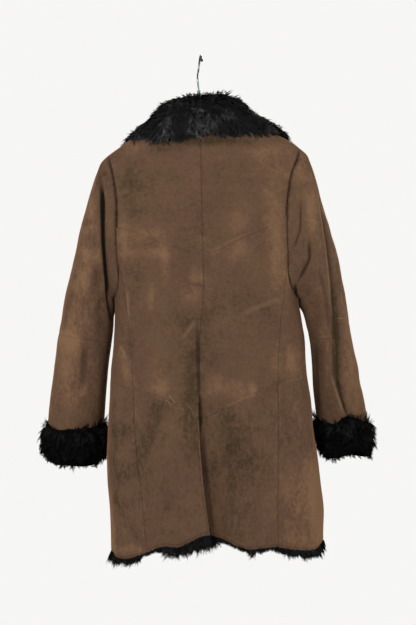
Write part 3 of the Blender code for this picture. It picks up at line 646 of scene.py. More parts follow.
def body_normal(across, face, down):
    """Outward direction of the coat's surface."""
    across = np.asarray(across, float)
    low, high = np.maximum(-2.0, across - SURFACE_STEP), np.minimum(2.0, across + SURFACE_STEP)
    sideways = body_point(high, face, down) - body_point(low, face, down)
    up = np.maximum(0.0, down - SURFACE_STEP)
    downwards = body_point(across, face, down + SURFACE_STEP) - body_point(across, face, up)
    return unit(face * np.cross(sideways, downwards))


def back_lift(across, drop, lapped):
    """How far the back's skirt stands proud of the shared surface, beside the vent and at the hem."""
    foot = smooth_share((drop - VENT_TOP_DROP) / (VENT_FOOT_DROP - VENT_TOP_DROP))
    start = np.clip((drop - VENT_TOP_DROP) / VENT_START, 0.0, 1.0)
    near = (1 - smooth_share((across if lapped else np.abs(across)) / VENT_SPREAD)) * start
    lift = -near * lerp(*VENT_RECESS, foot) if lapped else near * lerp(*VENT_LIFT, foot)
    return lift + hem_wave(across, drop)


def hem_wave(across, drop):
    foot = smooth_share((drop - HEM_WAVE_TOP) / (HEM_WAVE_FOOT - HEM_WAVE_TOP))
    return foot * read_hand(HEM_WAVES, "across", across, np.abs(across))


def front_lift(across, drop, lapped):
    """The right front lies over the left one at the centre."""
    near = 1 - smooth_share((np.abs(across) - FRONT_LAP) / FRONT_LAP_FADE)
    side = -1 if lapped else 1
    return hem_wave(across, drop) * FRONT_WAVES + near * side * FRONT_LAP_LIFT / 2


def neck_down(across, face):
    """Where the body begins: at the neck seam, and past it at the shoulder line."""
    near = 1 - (np.asarray(across) / NECK_ACROSS) ** 2
    return (NECK_BACK if face < 0 else NECK_FRONT) * np.sqrt(np.maximum(0.0, near))


def seam_down(seam, across):
    return place_down(across, read_hand(seam, "across", across, np.abs(across)))


def split_share(hand):
    """Share of the back's middle panel above the foot of the armhole's straight stretch."""
    one = SIDE[hand]
    top, foot = seam_down(UPPER_V, one), seam_down(LOWER_V, one)
    return (place_down(one, ARMHOLE_SPLIT_DROP) - top) / (foot - top)


def armhole_turn(share):
    """The armhole's curved foot, from the side seam (0) to the armpit (1): side share and drop."""
    angle = share * math.pi / 2
    return 1 - np.cos(angle), lerp(ARMHOLE_SPLIT_DROP, ARMPIT_DROP, np.sin(angle))


def outline_place(hand, row):
    """(across, down) on the line that runs down the armhole and on down the coat's side."""
    one = SIDE[hand]
    vee, straight, armpit, waist, foot = OUTLINE_ROWS
    top = seam_down(UPPER_V, one)
    split = lerp(top, seam_down(LOWER_V, one), split_share(hand))
    beside, drop = armhole_turn(np.clip((row - straight) / (armpit - straight), 0, 1))
    across = one * (1 + beside)
    armpit_down = place_down(one * 2, ARMPIT_DROP)
    waist_down, foot_down = seam_down(LOWER_V, one * 2), seam_down(HEM, one * 2)
    steps = [row < vee, row < straight, row < armpit, row < waist]
    downs = [
        top * row / vee,
        lerp(top, split, (row - vee) / (straight - vee)),
        place_down(across, drop),
        lerp(armpit_down, waist_down, (row - armpit) / (waist - armpit)),
    ]
    return across, np.select(steps, downs, lerp(waist_down, foot_down, (row - waist) / (foot - waist)))


def armhole_ring(hand):
    """The armhole as a closed curve: turn -1 to 0 up the back, 0 to 1 down the front."""
    across, down = outline_place(hand, np.linspace(0, OUTLINE_ROWS[2], ARMHOLE_STOPS))
    loops = []
    for face in (-1, 1):
        points, outs = body_point(across, face, down), body_normal(across, face, down)
        lengths = np.concatenate([[0], np.cumsum(np.linalg.norm(np.diff(points, axis=0), axis=1))])
        loops.append(np.column_stack([lengths / lengths[-1], points, outs]))
    back = loops[0][::-1].copy()
    back[:, 0] *= -1
    loop = np.concatenate([back, loops[1][1:]])
    before, after = loop[-4:-1].copy(), loop[1:4].copy()
    before[:, 0] -= 2
    after[:, 0] += 2
    loop = np.concatenate([before, loop, after])
    return dict(zip("turn x y z out_x out_y out_z".split(), loop.T))


def section_point(sections, at, angle):
    swing = (1 + np.cos(angle)) / 2
    x = lerp(read(sections, "along", "inner", at), read(sections, "along", "outer", at), swing)
    y = read(sections, "along", "middle", at) + read(sections, "along", "depth", at) * np.sin(angle)
    return np.stack([x, y, -lerp(read(sections, "along", "inner_drop", at), at, swing)], axis=-1)


def sleeve_point(hand, ring, turn, along):
    """The sleeve's outer surface. turn is 0 at the outer seam, -1 and 1 at the armpit."""
    sections = SLEEVE_SECTIONS[hand]
    start = sections["along"][0]
    twist = np.radians(read(SLEEVE_TURN, "along", hand, along))
    angle = -twist + np.where(turn < 0, math.pi - twist, math.pi + twist) * turn
    place = section_point(sections, along, angle)
    fade = np.maximum(0.0, 1 - (along - start) / ARMHOLE_FADE)[..., None]
    hole = np.stack([read(ring, "turn", axis, turn) for axis in "xyz"], axis=-1)
    return place + (hole - section_point(sections, np.full_like(turn, start), math.pi * turn)) * fade**2


def sleeve_normal(hand, ring, turn, along):
    """Outward direction, taken from the body at the armhole and from the sleeve further down."""
    start = SLEEVE_SECTIONS[hand]["along"][0]
    ends = np.abs(turn) >= 1
    inside = 1 - SURFACE_STEP
    low, high = np.where(ends, inside, turn - SURFACE_STEP), np.where(ends, -inside, turn + SURFACE_STEP)
    around = sleeve_point(hand, ring, high, along) - sleeve_point(hand, ring, low, along)
    up = np.maximum(start, along - 1.0)
    down = sleeve_point(hand, ring, turn, along + 1.0) - sleeve_point(hand, ring, turn, up)
    out = unit(np.cross(around, down) * -SIDE[hand])
    hole = np.stack([read(ring, "turn", "out_" + axis, turn) for axis in "xyz"], axis=-1)
    return unit(lerp(hole, out, smooth_share((along - start) / ARMHOLE_BLEND)[..., None]))


def sleeve_fold(hand, turn, along):
    """Depth of the lengthwise folds at this place."""
    folds = SLEEVE_FOLDS[hand]
    depth = 0.0
    for start, end, start_turn, end_turn, width, deep in zip(*folds.values()):
        share = np.clip((along - start) / (end - start), 0.0, 1.0)
        aside = (np.abs(turn) - lerp(start_turn, end_turn, share)) / width
        depth = depth + deep * bell(aside) * np.sin(math.pi * share) ** 0.7
    return depth * smooth_share(np.minimum(np.abs(turn), 1 - np.abs(turn)) / FOLD_SEAM_FADE)


def seen_from_behind(places):
    """x and drop of each place as it shows on the coat's middle plane, from a stand behind it."""
    nearer = STAND[1] / (STAND[1] + places[..., 1])
    return STAND[0] + (places[..., 0] - STAND[0]) * nearer, STAND[2] + (-places[..., 2] - STAND[2]) * nearer


def crease_form(creases, places):
    """How deep the creases press the cloth, how far each place is from the nearest narrow one, in its own
    widths and below 0 on the left, that one's mark of painted shade (paler below 0), and the soft painted
    shade of the wide ones."""
    x, drop = seen_from_behind(places)
    depth, mark, shade = (np.zeros(x.shape) for _ in range(3))
    line = np.full(x.shape, FAR_LINE)
    for x0, drop0, x1, drop1, x2, drop2, width, deep, dark, step, reach in zip(*creases.values()):
        best, at, side = np.full(x.shape, math.inf), np.zeros(x.shape), np.ones(x.shape)
        for ax, ad, bx, bd, start in ((x0, drop0, x1, drop1, 0.0), (x1, drop1, x2, drop2, 0.5)):
            long = (bx - ax) ** 2 + (bd - ad) ** 2
            share = np.clip(((x - ax) * (bx - ax) + (drop - ad) * (bd - ad)) / long, 0, 1)
            away = np.hypot(x - ax - share * (bx - ax), drop - ad - share * (bd - ad))
            hand = np.sign((x - ax) * (bd - ad) - (drop - ad) * (bx - ax))
            closer = away < best
            best, side = np.where(closer, away, best), np.where(closer, hand, side)
            at = np.where(closer, start + share / 2, at)
        ends = smooth_share(np.minimum(at, 1 - at) / LINE_FADE + LINE_END)
        rims = bell((best - RIM_AWAY * width) / width)
        depth += deep * (bell(best / width) - RIM_HEIGHT * rims) * ends
        if step:
            beside = np.where(side > 0, smooth_share(best / width), 0.0)
            depth += step * beside * bell(best / reach) * ends
        if width >= SOFT_WIDTH:
            shade += dark * bell(best / width) * ends
            continue
        nearer = best / width < np.abs(line)
        line = np.where(nearer, best / width * side, line)
        mark = np.where(nearer, dark * ends, mark)
    return depth, line, np.where(np.abs(line) < MARK_REACH, mark, 0.0), shade


def stops(length, step):
    """Shares of a length in mm, close together beside both ends."""
    near = np.array(BORDER_STEPS)
    middle = max(2, round((length - 2 * near[-1]) / step))
    places = [near[:-1], np.linspace(near[-1], length - near[-1], middle + 1), length - near[-2::-1]]
    return np.concatenate(places) / length


def row_lengths(points, axis):
    """How far each grid point lies along its row (axis 1) or column (axis 0), in mm."""
    step = np.linalg.norm(np.diff(points, axis=axis), axis=-1)
    start = np.zeros_like(np.take(step, [0], axis=axis))
    return np.concatenate([start, np.cumsum(step, axis=axis)], axis=axis)


def border_distances(points):
    """Distance in mm from the grid's first row, last row, first column and last column."""
    down, along = row_lengths(points, 0), row_lengths(points, 1)
    return down, down[-1:] - down, along, along[:, -1:] - along


def grid_mesh(name, outer, inner, attributes):
    """A closed wall between two grids of points: a flat grid, thickened, and bent into place.
    The outer face has material 0, the inner face 1 and the rim 2."""
    rows, columns = outer.shape[0] - 1, outer.shape[1] - 1
    shape = bmesh.new()
    bmesh.ops.create_grid(shape, x_segments=columns, y_segments=rows, size=0.5)
    made = bmesh.ops.extrude_face_region(shape, geom=shape.faces[:], use_keep_orig=True)
    for item in made["geom"]:
        if isinstance(item, bmesh.types.BMVert):
            item.co.z = 1.0
    bmesh.ops.recalc_face_normals(shape, faces=shape.faces[:])
    mesh = bpy.data.meshes.new(name)
    shape.to_mesh(mesh)
    shape.free()
    flat = np.empty(len(mesh.vertices) * 3)
    mesh.vertices.foreach_get("co", flat)
    flat = flat.reshape(-1, 3)
    centres = np.empty(len(mesh.polygons) * 3)
    mesh.polygons.foreach_get("center", centres)
    height = centres.reshape(-1, 3)[:, 2]
    column = np.rint((flat[:, 0] + 0.5) * columns).astype(int)
    row = np.rint((flat[:, 1] + 0.5) * rows).astype(int)
    first = flat[:, 2:] < 0.5
    bent = np.where(first, outer[row, column], inner[row, column]) * MM
    mesh.vertices.foreach_set("co", bent.ravel())
    kind = np.where(height < 0.25, 0, np.where(height > 0.75, 1, 2))
    mesh.polygons.foreach_set("material_index", kind.astype(np.int32))
    for key, values in attributes.items():
        mesh.attributes.new(key, "FLOAT", "POINT").data.foreach_set("value", values[row, column].ravel())
    mesh.update()
    if signed_volume(mesh) < 0:
        mesh.flip_normals()
    mesh.shade_smooth()
    mesh.set_sharp_from_angle(angle=math.radians(SHARP_ANGLE))
    return mesh


def signed_volume(mesh):
    mesh.calc_loop_triangles()
    corners = np.empty(len(mesh.loop_triangles) * 3, np.int32)
    mesh.loop_triangles.foreach_get("vertices", corners)
    points = np.empty(len(mesh.vertices) * 3)
    mesh.vertices.foreach_get("co", points)
    a, b, c = np.moveaxis(points.reshape(-1, 3)[corners.reshape(-1, 3)], 1, 0)
    return float(np.einsum("ij,ij->i", a, np.cross(b, c)).sum())


def keep_piece(name, mesh, materials, nodes):
    piece = bpy.data.objects.new(name, mesh)
    bpy.context.scene.collection.objects.link(piece)
    for material in materials:
        mesh.materials.append(material)
    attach(piece, "root")
    if nodes:
        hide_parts(*nodes)
    return piece


def patch_share(patches, places):
    """Sum of soft tilted ellipses."""
    x, drop = seen_from_behind(places)
    total = np.zeros(x.shape)
    for px, pd, wide, tall, strength, tilt in zip(*patches.values()):
        turn = math.radians(tilt)
        along = (x - px) * math.cos(turn) + (drop - pd) * math.sin(turn)
        aside = (drop - pd) * math.cos(turn) - (x - px) * math.sin(turn)
        total += strength * np.exp(-((along / wide) ** 2) - (aside / tall) ** 2)
    return total


# Patches of the suede rubbed paler (strength above 0) or soiled darker (below 0), by x and drop. Some rows
# paint light and shade instead: painted shadow under the collar's edge and beside the centre-back fold,
# painted shade down the sleeves' inner sides and the right sleeve's valley, and painted light on sides turned
# from the lamps.
WEAR_AND_PAINTED_LIGHT_PATCHES = table(
    PATCH_COLUMNS,
    (-262, 520, 60, 230, 0.56, 8),
    (325, 560, 45, 240, 0.5, -8),
    (262, 330, 34, 90, 0.4, -8),
    (240, 960, 40, 110, 0.35),
    # Painted shadow under the collar's edge
    (18, 176, 120, 10, -0.6),
    (-140, 189, 26, 19, 0.59),
    (-188, 229, 12, 16, 0.34),
    (-159, 380, 12, 52, 0.68),
    (-110, 372, 36, 16, 0.66),
    (-114, 412, 58, 12, 0.6),
    (-75, 410, 16, 26, 0.51),
    (-16, 242, 21, 31, 0.3),
    (83, 344, 21, 26, 0.68),
    (79, 410, 26, 29, 0.64),
    (159, 195, 58, 24, 0.68),
    (140, 242, 36, 26, 0.34),
    (156, 317, 26, 69, 0.56),
    (163, 430, 19, 74, 0.81),
    (186, 472, 8, 52, 0.51),
    (-9, 458, 16, 26, 0.51),
    (-18, 504, 24, 24, 0.59),
    (-102, 510, 10, 31, 0.73),
    (-72, 447, 10, 36, 0.42),
    (-156, 649, 12, 45, 0.73, -12),
    (-87, 640, 16, 45, 0.42),
    (-81, 697, 24, 19, 0.85),
    (33, 682, 16, 34, 0.64, 12),
    (77, 701, 34, 24, 0.64),
    (112, 699, 8, 16, 0.68),
    (196, 634, 19, 45, 0.81),
    (159, 640, 12, 31, 0.39),
    (-159, 836, 16, 10, 0.42),
    (-58, 777, 10, 21, 0.3),
    (-148, 907, 12, 26, 0.42, 40),
    (201, 914, 34, 84, 0.42),
    # Partly painted light: the lower right side, turned from the lamps, is made paler
    (247, 930, 18, 118, 1.17, -3),
    (-184, 983, 8, 74, 0.77),
    (-142, 1033, 48, 12, 0.59),
    (203, 741, 12, 58, 0.34, -20),
    (211, 1016, 48, 16, 0.3),
    (-226, 315, 12, 26, 0.51),
    (-236, 359, 16, 12, 0.59),
    (-226, 418, 24, 16, 0.59),
    (-243, 472, 12, 24, 0.51),
    (-270, 598, 24, 21, 0.81),
    (-272, 689, 24, 79, 0.28),
    (-243, 699, 8, 26, 0.42, 25),
    (234, 326, 12, 50, 0.73),
    (249, 489, 10, 12, 0.42),
    (257, 575, 12, 12, 0.73),
    (268, 662, 8, 55, 0.56),
    (322, 674, 19, 92, 0.42, -10),
    (208, 238, 28, 36, 0.5),
    (232, 520, 14, 44, 0.55),
    # Painted light: the left sleeve's inner side, turned from the lamps, is made paler
    (-214, 712, 11, 66, 0.5),
    (306, 552, 10, 65, 0.34, -12),
    (-148, 269, 32, 48, -0.46),
    (-140, 326, 48, 14, -0.25),
    (-58, 248, 40, 14, -0.14),
    (-12, 376, 34, 70, -0.18),
    (39, 273, 36, 31, -0.12),
    (-148, 454, 36, 49, -0.27),
    (-30, 540, 56, 31, -0.25),
    (77, 525, 48, 17, -0.22),
    (144, 536, 26, 27, -0.22),
    (89, 491, 30, 35, -0.17),
    (-152, 601, 22, 31, -0.22),
    (-60, 611, 30, 31, -0.22),
    # Painted shade beside the centre-back fold
    (-14, 668, 22, 125, -0.44),
    (30, 628, 30, 61, -0.19),
    (-83, 727, 30, 23, -0.19),
    (-159, 785, 22, 17, -0.38, 30),
    (-102, 779, 22, 75, -0.44, 20),
    (-14, 777, 22, 70, -0.33),
    (70, 800, 34, 46, -0.58),
    (41, 752, 30, 23, -0.27, 20),
    (68, 888, 16, 75, -0.36),
    (108, 867, 26, 84, -0.31),
    (192, 811, 30, 58, -0.25),
    (188, 695, 34, 31, -0.25),
    (-163, 880, 48, 49, -0.33),
    (-177, 930, 14, 17, -0.33),
    (-165, 956, 22, 23, -0.25),
    (-77, 899, 16, 23, -0.22),
    (-68, 930, 8, 24, -0.25),
    (-56, 1002, 22, 17, -0.22),
    (30, 857, 22, 35, -0.27),
    (85, 995, 34, 23, -0.27),
    (106, 951, 22, 17, -0.22),
    (150, 962, 40, 44, 0.26),
    (230, 941, 5, 74, -0.25),
    (230, 815, 14, 23, -0.33),
    (-177, 804, 5, 58, -0.37),
    # This row and the next two are painted shadow under the collar's edge
    (-72, 192, 40, 10, -0.4),
    (-14, 181, 44, 12, -0.21),
    (75, 181, 81, 9, -0.18),
    (-201, 250, 14, 14, -0.33),
    (-212, 262, 8, 46, -0.55),
    (-238, 349, 16, 8, -0.49),
    (-226, 395, 26, 27, -0.27),
    (-259, 420, 5, 21, -0.49),
    (-264, 460, 8, 8, -0.49),
    (-268, 504, 8, 10, -0.61),
    (-272, 523, 5, 10, -0.49),
    (-280, 554, 5, 16, -0.42),
    (-224, 464, 14, 38, -0.19, 30),
    (-230, 536, 34, 23, -0.22, -30),
    (-240, 649, 8, 55, -0.42),
    # Painted shade along the left sleeve's inner side
    (-201, 615, 22, 191, -0.14),
    (230, 275, 8, 8, -0.42),
    (224, 395, 14, 27, -0.22),
    # This row and the next three are painted shade in the valley beside the right sleeve's seam
    (268, 400, 8, 75, -0.5, -10),
    (283, 505, 9, 55, -0.45, -10),
    (290, 600, 9, 60, -0.5),
    (300, 705, 8, 40, -0.3, -22),
    (249, 605, 14, 153, -0.25),
)
# Patches of the front, by the same x and drop
FRONT_PATCHES = table(
    PATCH_COLUMNS,
    (-262, 520, 60, 230, 0.25, 8),
    (325, 560, 45, 240, 0.25, -8),
    (-120, 262, 46, 30, 0.5),
    (95, 244, 50, 24, 0.5),
    (60, 420, 24, 60, 0.5, 10),
    (-70, 480, 26, 62, 0.45, -8),
    (140, 520, 16, 82, 0.6),
    (-150, 560, 14, 70, 0.6),
    (26, 600, 34, 40, -0.32),
    (-40, 700, 22, 64, -0.32, 15),
    (90, 760, 34, 60, -0.32),
    (-110, 820, 44, 62, -0.3),
    (60, 905, 34, 80, 0.5, -10),
    (-60, 965, 56, 24, 0.5),
    (150, 985, 40, 20, 0.5),
    (-225, 480, 26, 90, 0.5, 5),
    (-285, 690, 14, 60, 0.5),
    (255, 520, 20, 90, 0.5),
    (320, 700, 16, 50, 0.6),
    (2, 330, 16, 60, -0.32),
    (-205, 300, 16, 40, -0.3),
    (230, 610, 14, 60, -0.32),
    (-236, 610, 14, 50, -0.32),
)


def seam_forms(points, outs, borders):
    """The dip beside a panel's seams, how dark the painted shade in its groove is and how calm the cloth
    there, and the distances from the nearest seam and the nearest cut edge."""
    seam, hem = np.full(points.shape[:2], FAR_BORDER), np.full(points.shape[:2], FAR_BORDER)
    dip, groove, calm = (np.full(points.shape[:2], start) for start in (0.0, 0.0, 1.0))
    for distance, kind in zip(border_distances(points), borders):
        depth, width, dark, reach = DIPS[kind]
        beside = bell(distance / width)
        if kind == "armhole":
            beside = beside * smooth_share((ARMHOLE_LEVEL - outs[..., 2]) / ARMHOLE_LEVEL_FADE)
            depth = depth * (1 - bell((points[..., 2] + ARMPIT_DROP) / ARMPIT_CALM))
        dip, groove = dip + depth * beside, np.maximum(groove, dark * beside)
        calm *= smooth_share(distance / reach)
        if kind == "edge":
            hem = np.minimum(hem, distance)
        else:
            seam = np.minimum(seam, distance)
    return dip, groove, calm, seam, hem


def suede_panel(name, points, outs, borders, creases, brush):
    """One sewn panel of suede. borders names the seam form at the first row, last row, first column
    and last column."""
    dip, groove, calm, seam, hem = seam_forms(points, outs, borders)
    behind = smooth_share((BEHIND_OUT - outs[..., 1]) / BEHIND_FADE)
    depth, line, mark, shade = crease_form(creases, points)
    front_depth, front_line, front_mark, front_shade = crease_form(FRONT_CREASES, points)
    raised = hills(points, CLOTH_HILLS) * calm - dip - lerp(front_depth, depth, behind)
    # Wide creases add their soft painted shade to the soil of the patches
    back_wear_and_painted_light = patch_share(WEAR_AND_PAINTED_LIGHT_PATCHES, points) - shade
    front_wear_and_painted_light = patch_share(FRONT_PATCHES, points) - front_shade
    inward = np.zeros_like(points)
    inward[0] += unit(points[1] - points[0])
    inward[-1] += unit(points[-2] - points[-1])
    inward[:, 0] += unit(points[:, 1] - points[:, 0])
    inward[:, -1] += unit(points[:, -2] - points[:, -1])
    outer = points - inward * SEAM_OVERLAP / 2 + outs * raised[..., None]
    attributes = {
        "seam": seam,
        "hem": hem,
        "groove": groove,
        "line": np.where(behind > 0.5, line, front_line),
        "mark": np.where(behind > 0.5, mark, front_mark) * np.abs(2 * behind - 1),
        "wear_and_painted_light": lerp(front_wear_and_painted_light, back_wear_and_painted_light, behind),
        "brush": np.full(points.shape[:2], brush),
    }
    mesh = grid_mesh(f"suede_{name}", outer, outer - outs * LEATHER_WALL, attributes)
    piece = keep_piece(f"suede_{name}", mesh, [SUEDE, WOOL, RAW_EDGE], [name])


def body_panel(name, places, face, lift, step, borders, creases, brush):
    """places(u, v) gives (across, down) for shares across and down the panel."""
    coarse = np.linspace(0, 1, COARSE_STOPS)
    across, down = places(*np.meshgrid(coarse, coarse))
    rough = body_point(across, face, down)
    wide, tall = row_lengths(rough, 1)[:, -1].max(), row_lengths(rough, 0)[-1].max()
    across, down = places(*np.meshgrid(stops(wide, step[0]), stops(tall, step[1])))
    base = body_point(across, face, down)
    outs = body_normal(across, face, down)
    points = base + outs * lift(across, -base[..., 2])[..., None]
    suede_panel(name, points, outs, borders, creases, brush)


def make_back(hand):
    """Yoke, middle, skirt and side-back panels of one hand."""
    one = SIDE[hand]
    lapped = hand == "right"

    def lift(across, drop):
        return back_lift(across, drop, lapped)

    def yoke(u, v):
        return one * u, lerp(neck_down(one * u, -1), seam_down(UPPER_V, one * u), v)

    def middle(u, v):
        return one * u, lerp(seam_down(UPPER_V, one * u), seam_down(LOWER_V, one * u), v)

    def skirt(u, v):
        lap = -VENT_LAP * lerp(VENT_LAP_TOP, 1.0, v) * smooth_share(v / VENT_LAP_START)
        across = lerp(lap if lapped else 0.0 * v, one, u)
        return across, lerp(seam_down(LOWER_V, across), seam_down(HEM, across), v)

    def side_upper(u, v):
        beside, drop = armhole_turn(u)
        across = one * (1 + beside)
        return across, lerp(place_down(across, drop), seam_down(LOWER_V, across), v)

    def side_lower(u, v):
        across = one * (1 + armhole_turn(u)[0])
        return across, lerp(seam_down(LOWER_V, across), seam_down(HEM, across), v)

    panels = (
        ("back_yoke", yoke, ("shoulder", "vee", "centre", "armhole"), 0.55),
        ("back_middle", middle, ("vee", "vee", "centre", "plain"), 0.5),
        ("back_skirt", skirt, ("vee", "edge", "edge", "plain"), 0.15),
        ("side_back_upper", side_upper, ("armhole", "vee", "plain", "plain"), 0.3),
        ("side_back_lower", side_lower, ("vee", "edge", "plain", "plain"), 0.0),
    )
    for name, places, borders, brush in panels:
        body_panel(f"{name}_{hand}", places, -1, lift, BACK_STEP, borders, BACK_CREASES, brush)


def front_places(hand):
    """A front's places, whose outer column follows the armhole and then the coat's side."""
    one = SIDE[hand]

    def places(u, v):
        across_end, down_end = outline_place(hand, v * OUTLINE_ROWS[-1])
        across = lerp(-one * FRONT_LAP, one, u) + (across_end - one) * u**4
        share = lerp(v, down_end / seam_down(HEM, across_end), u * u)
        return across, lerp(neck_down(across, 1), seam_down(HEM, across), share)

    return places


def make_front(hand):
    borders = ("shoulder", "edge", "edge", "armhole")

    def lift(across, drop):
        return front_lift(across, drop, hand == "left")

    body_panel(f"front_{hand}", front_places(hand), 1, lift, FRONT_STEP, borders, BACK_CREASES, 0.2)


def underarm_lift(hand, turn, along, points):
    """How much fuller the sleeve is than its solid, just below the armpit."""
    full, below, tall = UNDERARM_FULL[hand]
    lift = full * smooth_share((np.abs(turn) - UNDERARM_TURN) / UNDERARM_TURN_FADE)
    lift = lift * bell((points[..., 2] + ARMPIT_DROP + below) / tall)
    return lift * smooth_share((along - SLEEVE_SECTIONS[hand]["along"][0]) / UNDERARM_START)


def make_sleeve(hand):
    """Back and front half of a sleeve, each cut across at the elbow."""
    ring = armhole_ring(hand)
    sections = SLEEVE_SECTIONS[hand]["along"]
    for face, side, step in ((-1, "back", BACK_STEP), (1, "front", SLEEVE_FRONT_STEP)):
        elbow = ELBOW[hand][face]
        stretches = (
            ("upper", (sections[0],) * 2, elbow, ("armhole", "vee", "plain", "plain")),
            ("lower", elbow, (sections[-1] - SLEEVE_TUCK,) * 2, ("vee", "edge", "plain", "plain")),
        )
        for part, top, foot, borders in stretches:
            u = stops(SLEEVE_HALF_ROUND, step[0]) * face
            turn, share = np.meshgrid(u, stops(foot[0] - top[0], step[1]))
            along = lerp(lerp(*top, np.abs(turn)), lerp(*foot, np.abs(turn)), share)
            points = sleeve_point(hand, ring, turn, along)
            outs = sleeve_normal(hand, ring, turn, along)
            fold = sleeve_fold(hand, turn, along) if face < 0 else 0.0
            points = points + outs * (underarm_lift(hand, turn, along, points) - fold)[..., None]
            suede_panel(f"sleeve_{side}_{part}_{hand}", points, outs, borders, SLEEVE_CREASES[hand], 0.0)


# --- Fur ---

# The underfur's skin lies this far inside the locks' roots, and its lumps fade towards its rim
UNDERFUR_SINK = 1.2
UNDERFUR_RIM = 6.0
# Places along a hair, and half its breadth at the root and at the first two of them, all as shares
HAIR_STOPS = (0.35, 0.7, 1.0)
HAIR_HALVES = (0.5, 0.42, 0.28)
# How the locks differ, and the hairs within a lock: the lowest and the highest share
LOCK_LIFTS = (0.4, 1.6)
LOCK_DROOPS = (0.4, 1.4)
HAIR_LENGTHS = (0.7, 1.1)
HAIR_TURNS = (-0.6, 0.6)
HAIR_WIDTHS = (0.6, 1.3)
HAIR_TONES = (0.15, 1.8)
# Above 1, fewer of the locks are pale
TONE_POWER = 1.9
# The locks of each kind of fur. length, spread, sink and width are in millimetres, and gather says how
# far a lock's hairs draw together at each of their stops.
LOCKS = {
    "collar": {
        "count": 2250, "hairs": 12, "length": 15.0, "gather": (0.25, 0.5, 0.6), "ragged": 0.45, "lift": 0.24,
        "spread": 2.0, "swirl": 0.45, "curl": 0.65, "droop": 0.75, "sink": 1.0, "width": 0.8,
    },
    "cuff": {
        "count": 1100, "hairs": 18, "length": 13.5, "gather": (0.25, 0.5, 0.7), "ragged": 0.65, "lift": 0.75,
        "spread": 3.0, "swirl": 0.9, "curl": 0.6, "droop": 0.55, "sink": 1.2, "width": 0.8,
    },
    "hem": {
        "count": 430, "hairs": 11, "length": 15.0, "gather": (0.25, 0.5, 0.8), "ragged": 0.6, "lift": 0.2,
        "spread": 2.4, "swirl": 0.4, "curl": 0.35, "droop": 0.8, "sink": 0.8, "width": 0.62,
    },
}


def fur_body(name, outer, inner, lumps, nodes):
    """The dense underfur: a dark wall whose outer points stand in small lumps. It gives back the
    surface that the locks grow from."""
    outs = unit(outer - inner)
    rim = np.minimum.reduce(border_distances(outer))
    lift = lumps * hills(outer, FUR_LUMPS) * smooth_share(rim / UNDERFUR_RIM)
    surface = outer + outs * lift[..., None]
    wall = {"tone": np.zeros(outer.shape[:2])}
    mesh = grid_mesh(f"under_{name}", surface - outs * UNDERFUR_SINK, inner, wall)
    keep_piece(f"under_{name}", mesh, [FUR_UNDER] * 3, nodes)
    return surface


def scatter(random, points, count):
    """Even random places on a grid of points: their row, column and shares inside the cell."""
    cross = np.cross(points[1:, 1:] - points[:-1, :-1], points[1:, :-1] - points[:-1, 1:])
    weight = np.linalg.norm(cross, axis=-1).ravel()
    cell = random.choice(weight.size, count, p=weight / weight.sum())
    row, column = np.unravel_index(cell, (points.shape[0] - 1, points.shape[1] - 1))
    return row, column, random.random(count), random.random(count)


def sample(grid, place):
    """Values of a grid at scattered places."""
    row, column, down, along = place
    if grid.ndim == 3:
        down, along = down[:, None], along[:, None]
    top = lerp(grid[row, column], grid[row, column + 1], along)
    foot = lerp(grid[row + 1, column], grid[row + 1, column + 1], along)
    return lerp(top, foot, down)


def strand_mesh(name, roots, paths, widths, sides, tones):
    """Joined tapered blades of seven points and three faces. paths holds three places after each root,
    and the last is its tip."""
    count = len(roots)
    points = []
    for place, share in zip((roots, paths[:, 0], paths[:, 1]), HAIR_HALVES):
        half = sides * widths[:, None] * share
        points += [place - half, place + half]
    points.append(paths[:, 2])
    points = np.stack(points, axis=1).reshape(-1, 3) * MM
    first = np.arange(count) * 7
    quads = np.stack([first + k for k in (0, 1, 3, 2, 2, 3, 5, 4)], axis=1).reshape(-1)
    tips = np.stack([first + k for k in (4, 5, 6)], axis=1).reshape(-1)
    mesh = bpy.data.meshes.new(name)
    mesh.vertices.add(count * 7)
    mesh.vertices.foreach_set("co", points.ravel())
    mesh.loops.add(count * 11)
    mesh.loops.foreach_set("vertex_index", np.concatenate([quads, tips]).astype(np.int32))
    mesh.polygons.add(count * 3)
    starts = np.concatenate([np.arange(count * 2) * 4, count * 8 + np.arange(count) * 3])
    mesh.polygons.foreach_set("loop_start", starts.astype(np.int32))
    mesh.update(calc_edges=True)
    mesh.attributes.new("tone", "FLOAT", "POINT").data.foreach_set("value", np.repeat(tones, 7))
    mesh.shade_smooth()
    return mesh


